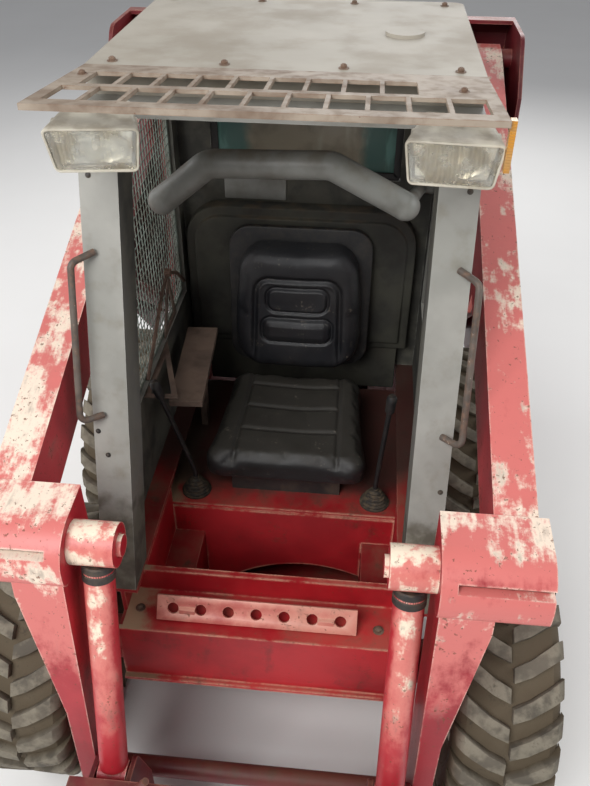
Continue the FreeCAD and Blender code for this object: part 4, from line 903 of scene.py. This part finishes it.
def ring(name, corners, band, thick, soft=0.001):  # a flat frame that follows an outline
    piece = sheet(name, corners, 0)
    edit(piece, True)
    bpy.ops.mesh.inset(thickness=band)
    bpy.ops.mesh.delete(type="FACE")
    leave()
    modify(piece, "SOLIDIFY", thickness=thick, offset=0)
    bevelled(piece, soft)
    return piece


def tube(name, points, radius, sides):  # a round bar along a line of points
    deselect()
    bpy.ops.curve.primitive_bezier_curve_add()
    piece = bpy.context.object
    piece.name = piece.data.name = name
    line = piece.data
    line.splines.clear()
    spline = line.splines.new("POLY")
    spline.points.add(len(points) - 1)
    for knot, point in zip(spline.points, points):
        knot.co = (*point, 1)
    line.bevel_depth = radius
    line.bevel_resolution = sides // 4
    line.use_fill_caps = True
    bpy.ops.object.convert(target="MESH")
    piece = bpy.context.object
    edit(piece)
    closeUp()
    settle(piece)
    return piece


# Side screens: crossed wires in a flat frame, in each side window
screens = {
    "x": 0.421, "low": 1.000, "high": 1.760, "frontLow": -0.455, "frontHigh": -0.224, "rear": 0.350,
    "pitch": 0.026, "wire": 0.0034, "frame": 0.012, "thick": 0.005,
}


def screenPair():
    x, low, high, frontLow, frontHigh, rear = (
        screens[key] for key in ("x", "low", "high", "frontLow", "frontHigh", "rear"))
    tall, deep = high - low, rear - frontLow
    wires = started(
        bpy.ops.mesh.primitive_grid_add, "wires", (tall, deep, 1), size=1,
        x_subdivisions=round(tall / screens["pitch"]), y_subdivisions=round(deep / screens["pitch"]),
        location=(x, frontLow + deep / 2, low + tall / 2), rotation=(0, math.pi / 2, 0))
    edit(wires, True)
    lean = Vector((0, frontHigh - frontLow, tall)).normalized()
    bpy.ops.mesh.bisect(plane_co=(x, frontLow, low), plane_no=(0, -lean.z, lean.y), clear_outer=True)
    leave()
    modify(wires, "WIREFRAME", thickness=screens["wire"], use_even_offset=False)
    rim = ring("screenRim", [(x, frontLow, low), (x, rear, low), (x, rear, high), (x, frontHigh, high)],
               screens["frame"], screens["thick"])
    right = joined([wires, rim], "wireScreens")
    return joined([right, copied(right, "leftScreen", mirrorX)], "wireScreens")


dress(screenPair(), "screenWire", "screen_mesh", ["side_screens"], smooth=0)
print("screens built")


# Rear window: a dusty pane in a black rubber gasket
rearWindow = {
    "half": 0.3005, "low": 1.4045, "high": 1.7605, "y": 0.425, "corner": 0.014, "band": 0.022, "thick": 0.024,
    "soft": 0.005, "paneInset": 0.012, "paneCorner": 0.004, "paneThick": 0.005, "paneSoft": 0.0008,
}


def windowOutline(inset, radius, steps=5):
    half, low, high = rearWindow["half"] - inset, rearWindow["low"] + inset, rearWindow["high"] - inset
    points = []
    for x, z, start in ((half - radius, high - radius, 0), (radius - half, high - radius, 1),
                        (radius - half, low + radius, 2), (half - radius, low + radius, 3)):
        for number in range(steps + 1):
            turn = (start + number / steps) * math.pi / 2
            points.append((x + radius * math.cos(turn), rearWindow["y"], z + radius * math.sin(turn)))
    return points


def buildRearWindow():
    outline = windowOutline(0, rearWindow["corner"])
    gasket = ring("windowGasket", outline, rearWindow["band"], rearWindow["thick"], rearWindow["soft"])
    dress(gasket, "blackPlastic", "black_plastic")
    outline = windowOutline(rearWindow["paneInset"], rearWindow["paneCorner"])
    pane = sheet("rearPane", outline, rearWindow["paneThick"], rearWindow["paneSoft"])
    dress(pane, "dustyPane", "lamp_glass")


buildRearWindow()
print("rear window built")


# Padded lining on the cab's rear wall, the seat's black shell before it and a grey strip above it; the black
# shell also stands in for painted shadow round the seat back
lining = {  # each middle with its size
    "pad": ((-0.010, 0.381, 1.0625), (0.760, 0.058, 0.515)), "padCorner": 0.12, "padRim": 0.030,
    "padRise": 0.014, "padBand": 0.022, "lower": ((0, 0.386, 0.714), (0.680, 0.040, 0.188)),
    "shell": ((-0.004, 0.262, 1.035), (0.468, 0.020, 0.480)), "shellCorner": 0.070, "shellLean": 0.060,
    "strip": ((-0.162, 0.404, 1.363), (0.200, 0.012, 0.070)),
}


def buildLining():
    pad = block("rearLining", *lining["pad"])
    edit(pad)
    pick(pad, lambda edge: edgeSpan(edge, 1) > 0.03 and edge.verts[0].co.z > 1.2, "edges")
    bpy.ops.mesh.bevel(offset=lining["padCorner"], segments=8)
    pick(pad, lambda face: face.normal.y < -0.9)
    bpy.ops.mesh.inset(thickness=lining["padRim"])
    push((0, -lining["padRise"], 0))
    bpy.ops.mesh.inset(thickness=lining["padBand"])
    leave()
    bevelled(pad, 0.006, 3, 25)
    dress(pad, "liningDark", "black_plastic", smooth=60)
    lower = block("lowerLining", *lining["lower"])
    bevelled(lower, 0.006)
    dress(lower, "liningDark", "black_plastic")
    # black shell round the seat back, partly a real shell and partly painted shadow
    middle, size = lining["shell"]
    shell = block("seatShellAndShadow", middle, size)
    edit(shell)
    pick(shell, lambda edge: edgeSpan(edge, 1) > 0.015, "edges")
    bpy.ops.mesh.bevel(offset=lining["shellCorner"], segments=8)
    leave()
    bevelled(shell, 0.005, 3, 40)
    for corner in shell.data.vertices:
        corner.co.y += lining["shellLean"] * ((corner.co.z - middle[2]) / size[2] + 0.5)
    dress(shell, "blackPlastic", "black_plastic")
    strip = block("liningStrip", *lining["strip"])
    bevelled(strip, 0.004)
    dress(strip, "cabGrey", "cab_grey")


buildLining()
print("lining built")


# Work lamps: pressed shell with a rim, bright bowl, bulb, fluted lens and a strap to the cab
lamps = {
    "places": ((-0.325, 8.0), (0.350, -4.0)), "y": -0.578, "z": 1.846, "tilt": 10.0,
    "half": 0.092, "lowHalf": 0.080, "tall": 0.092, "rim": 0.005, "depth": 0.130, "taper": 0.72,
    "bulb": [(0.010, 0), (0.012, 0.006), (0.018, 0.0085), (0.030, 0.007), (0.044, 0.006), (0.044, 0)],
    "bowlGap": (0.016, 0.012), "bowlY": 0.012, "bowlDepth": 0.034, "lensGap": 0.0065, "lensSwell": 0.0045,
    "strap": (0.386, 0.040, -0.548, -0.359, 1.826, 1.838),
}


def lampPlace(number):
    x, turn = lamps["places"][number]
    return (Matrix.Translation((x, lamps["y"], lamps["z"])) @ Matrix.Rotation(math.radians(turn), 4, "Z")
            @ Matrix.Rotation(math.radians(lamps["tilt"]), 4, "X"))


def narrowed(piece, tall):  # narrows the lower end to the lamp's shape
    for corner in piece.data.vertices:
        share = clamped((tall - corner.co.z) / (2 * tall))
        corner.co.x *= 1 - (1 - lamps["lowHalf"] / lamps["half"]) * share


def lampShell():
    half, tall = lamps["half"], lamps["tall"] / 2
    shell = block("lampShell", (0, lamps["depth"] / 2, 0), (2 * half, lamps["depth"], 2 * tall))
    for corner in shell.data.vertices:
        if corner.co.y > 0.05:
            corner.co.x *= lamps["taper"]
            corner.co.z *= lamps["taper"]
    edit(shell)
    pick(shell, lambda edge: edgeSpan(edge, 1) > 0.05, "edges")
    bpy.ops.mesh.bevel(offset=0.012, segments=4)
    pick(shell, lambda face: face.normal.y < -0.9)
    push((0, -0.004, 0))
    for band, depth in ((lamps["rim"], 0.014), (0.003, 0.045)):
        bpy.ops.mesh.inset(thickness=band)
        push((0, depth, 0))
    leave()
    bevelled(shell, 0.0012, 2, 35)
    narrowed(shell, tall)
    return shell


def lampGrid(name, half, tall):
    return started(bpy.ops.mesh.primitive_grid_add, name, (half, tall, 1), x_subdivisions=22,
                   y_subdivisions=14, size=2, rotation=(math.pi / 2, 0, 0))


def lampBowl():  # dished reflector behind the lens
    half, tall = lamps["half"] - lamps["bowlGap"][0], lamps["tall"] / 2 - lamps["bowlGap"][1]
    bowl = lampGrid("bowl", half, tall)
    for corner in bowl.data.vertices:
        far = min(math.hypot(corner.co.x / half, corner.co.z / tall), 1)
        corner.co.y = lamps["bowlY"] + lamps["bowlDepth"] * (1 - far * far)
    modify(bowl, "SOLIDIFY", thickness=0.0015, offset=0)
    narrowed(bowl, tall)
    return joined([bowl, turned("bulb", lamps["bulb"], (0, 0, 0), "Y", 20)], "lampBowl")


def lampLens():
    half, tall = lamps["half"] - lamps["lensGap"], lamps["tall"] / 2 - lamps["lensGap"]
    lens = lampGrid("lampLens", half, tall)
    for corner in lens.data.vertices:
        corner.co.y = -lamps["lensSwell"] * (1 - (corner.co.x / half) ** 4) * (1 - (corner.co.z / tall) ** 4)
    modify(lens, "SOLIDIFY", thickness=0.0035, offset=0)
    narrowed(lens, tall)
    return lens


def lampStrap(side):
    x, wide, front, rear, low, high = lamps["strap"]
    strap = block("strap", (side * x, (front + rear) / 2, (low + high) / 2), (wide, rear - front, 0.006))
    edit(strap)
    pick(strap, lambda face: face.normal.y < -0.9)
    push((0, -0.014, 0.004))
    push((0, -0.006, 0.016))
    leave()
    bevelled(strap, 0.0015)
    return strap


def buildLamps():
    masters = (lampShell(), lampBowl(), lampLens())
    shells, bowls, lenses = (
        [copied(master, "lampPart", lampPlace(number)) for number in (0, 1)] for master in masters)
    for master in masters:
        bpy.data.objects.remove(master)
    shells += [lampStrap(-1), lampStrap(1)]
    for parts, name, look in (
            (shells, "lampShells", ("lampCream", "lamp_cream", ["lamp_housings"])),
            (bowls, "lampBowls", ("mirrorBowl", "bare_steel")),
            (lenses, "lampLenses", ("lampGlass", "lamp_glass", ["lamp_lenses"]))):
        dress(joined(parts, name), *look, smooth=40)


buildLamps()
print("lamps built")


# Control levers: bellows boots, bent stems and grips
levers = {
    "bootX": 0.281, "y": -0.234, "floor": 0.620, "tops": (-0.362, 0.301), "topY": -0.249, "topZ": 1.012,
    "stem": 0.0075, "knee": 0.085, "bend": 0.008,
    "boot": [(0.000, 0.000), (0.000, 0.046), (0.005, 0.046), (0.007, 0.040), (0.012, 0.042), (0.016, 0.035),
             (0.021, 0.037), (0.025, 0.030), (0.030, 0.032), (0.034, 0.024), (0.039, 0.026), (0.043, 0.018),
             (0.048, 0.020), (0.053, 0.011), (0.060, 0.010), (0.060, 0.0)],
    "grip": [(-0.020, 0), (-0.020, 0.0105), (-0.014, 0.0135), (0.004, 0.014), (0.022, 0.015),
             (0.034, 0.0145), (0.042, 0.0105), (0.044, 0.004), (0.044, 0)],
}


def buildLevers():
    soft, hard = [], []
    for side, topX in zip((-1, 1), levers["tops"]):
        foot = Vector((side * levers["bootX"], levers["y"], levers["floor"]))
        top = Vector((topX, levers["topY"], levers["topZ"]))
        knee = foot + Vector((0, 0, levers["knee"]))
        slope = (top - knee).normalized()
        soft.append(turned("boot", levers["boot"], foot, "Z", 32))
        rises = [foot + Vector((0, 0, height)) for height in (0.02, 0.055, levers["knee"] - levers["bend"])]
        stem = tube("stem", rises + [knee + slope * levers["bend"], top], levers["stem"], 16)
        grip = turned("grip", levers["grip"], (0, 0, 0), "Z", 32)
        hard += [stem, copied(grip, "grip", Matrix.Translation(top) @ toward(slope))]
        bpy.data.objects.remove(grip)
    dress(joined(soft, "leverBoots"), "bootRubber", "black_plastic", smooth=25)
    dress(joined(hard, "leverSticks"), "blackPlastic", "black_plastic", ["control_levers"])


buildLevers()
print("levers built")


# Step bar: a tilted flat plate with seven holes on two short feet
stepBar = {
    "long": 0.534, "wide": 0.068, "thick": 0.010, "tilt": 56.0, "place": (-0.025, -0.711, 0.650), "holes": 7,
    "pitch": 0.0745, "radius": 0.0150, "foot": (0.185, 0.022, 0.024, 0.620, 0.660),
}


def buildStepBar():
    size = (stepBar["long"], stepBar["wide"], stepBar["thick"])
    plate = block("stepPlate", (0, 0, stepBar["thick"] / 2), size)
    first = (1 - stepBar["holes"]) / 2
    cutter = joined([
        started(bpy.ops.mesh.primitive_cylinder_add, "hole", vertices=32, radius=stepBar["radius"],
                depth=0.06, location=((number + first) * stepBar["pitch"], 0, 0))
        for number in range(stepBar["holes"])], "stepHoles")
    modify(plate, "BOOLEAN", object=cutter, operation="DIFFERENCE", solver="EXACT")
    bpy.data.objects.remove(cutter)
    bevelled(plate, 0.0015, 2, 40)
    x, y, z = stepBar["place"]
    tilt = Matrix.Rotation(math.radians(stepBar["tilt"]), 4, "X")
    plate.data.transform(Matrix.Translation((x, y, z)) @ tilt)
    out, half, deep, low, high = stepBar["foot"]
    parts = [plate]
    for side in (-1, 1):
        foot = block("foot", (x + side * out, y - 0.004, (low + high) / 2), (2 * half, deep, high - low))
        bevelled(foot, 0.002)
        parts.append(foot)
    dress(joined(parts, "stepBarMesh"), "redStep", "faded_paint", ["step_bar"])


buildStepBar()
print("step bar built")


# Glands: a dark collar where each tilt rod enters its barrel
glands = {"x": 0.342, "eye": (-0.885, 1.0856), "far": (-1.060, 0.425), "span": (0.046, 0.088),
          "radius": 0.0372, "bore": 0.020}


def buildGlands():
    start, end = glands["span"]
    radius, bore = glands["radius"], glands["bore"]
    profile = [(start, bore), (start, radius - 0.003), (start + 0.003, radius), (start + 0.016, radius),
               (start + 0.018, radius - 0.0022), (start + 0.022, radius - 0.0022), (start + 0.024, radius),
               (end - 0.003, radius + 0.0006), (end, radius - 0.002), (end, bore), (start, bore)]
    for side, label in ((-1, "Left"), (1, "Right")):
        eye, far = (Vector((side * glands["x"], *glands[key])) for key in ("eye", "far"))
        collar = turned("tiltGland" + label, profile, (0, 0, 0), "Z", 40)
        collar.data.transform(Matrix.Translation(eye) @ toward(far - eye))
        dress(collar, "blackSteel", "black_steel", (), "tilt_barrel_" + label.lower())


buildGlands()
print("glands built")


# Small things on the left wall of the cab: a gusset and a plate, a bent link, an arm and a pin
wallThings = {
    "gusset": [(-0.407, -0.250, 0.992), (-0.309, -0.243, 0.992), (-0.407, 0.052, 0.992)],
    "plate": [(-0.412, 0.045, 1.000), (-0.412, 0.205, 1.000), (-0.412, 0.150, 1.185)],
    "link": [(-0.412, 0.150, 1.180), (-0.411, 0.080, 1.160), (-0.411, -0.060, 1.080),
             (-0.412, -0.180, 1.002)],
    "arm": [(-0.412, 0.150, 1.180), (-0.411, 0.260, 1.120), (-0.412, 0.351, 1.040)],
    "pin": [(-0.006, 0), (-0.006, 0.013), (0.012, 0.013), (0.014, 0.010), (0.014, 0)],
    "pinPlace": (-0.414, 0.150, 1.180), "bar": 0.006, "thick": 0.006,
}


def buildWallThings():
    brackets = [ring(name, wallThings[name], band, wallThings["thick"])
                for name, band in (("gusset", 0.016), ("plate", 0.017))]
    linkage = [tube(name, wallThings[name], wallThings["bar"], 12) for name in ("link", "arm")]
    linkage.append(turned("pin", wallThings["pin"], wallThings["pinPlace"], "X", 20))
    dress(joined(brackets, "wallBrackets"), "tanPlastic", "rusty_steel")
    dress(joined(linkage, "wallLinkage"), "rustySteel", "rusty_steel")


buildWallThings()
print("wall things built")
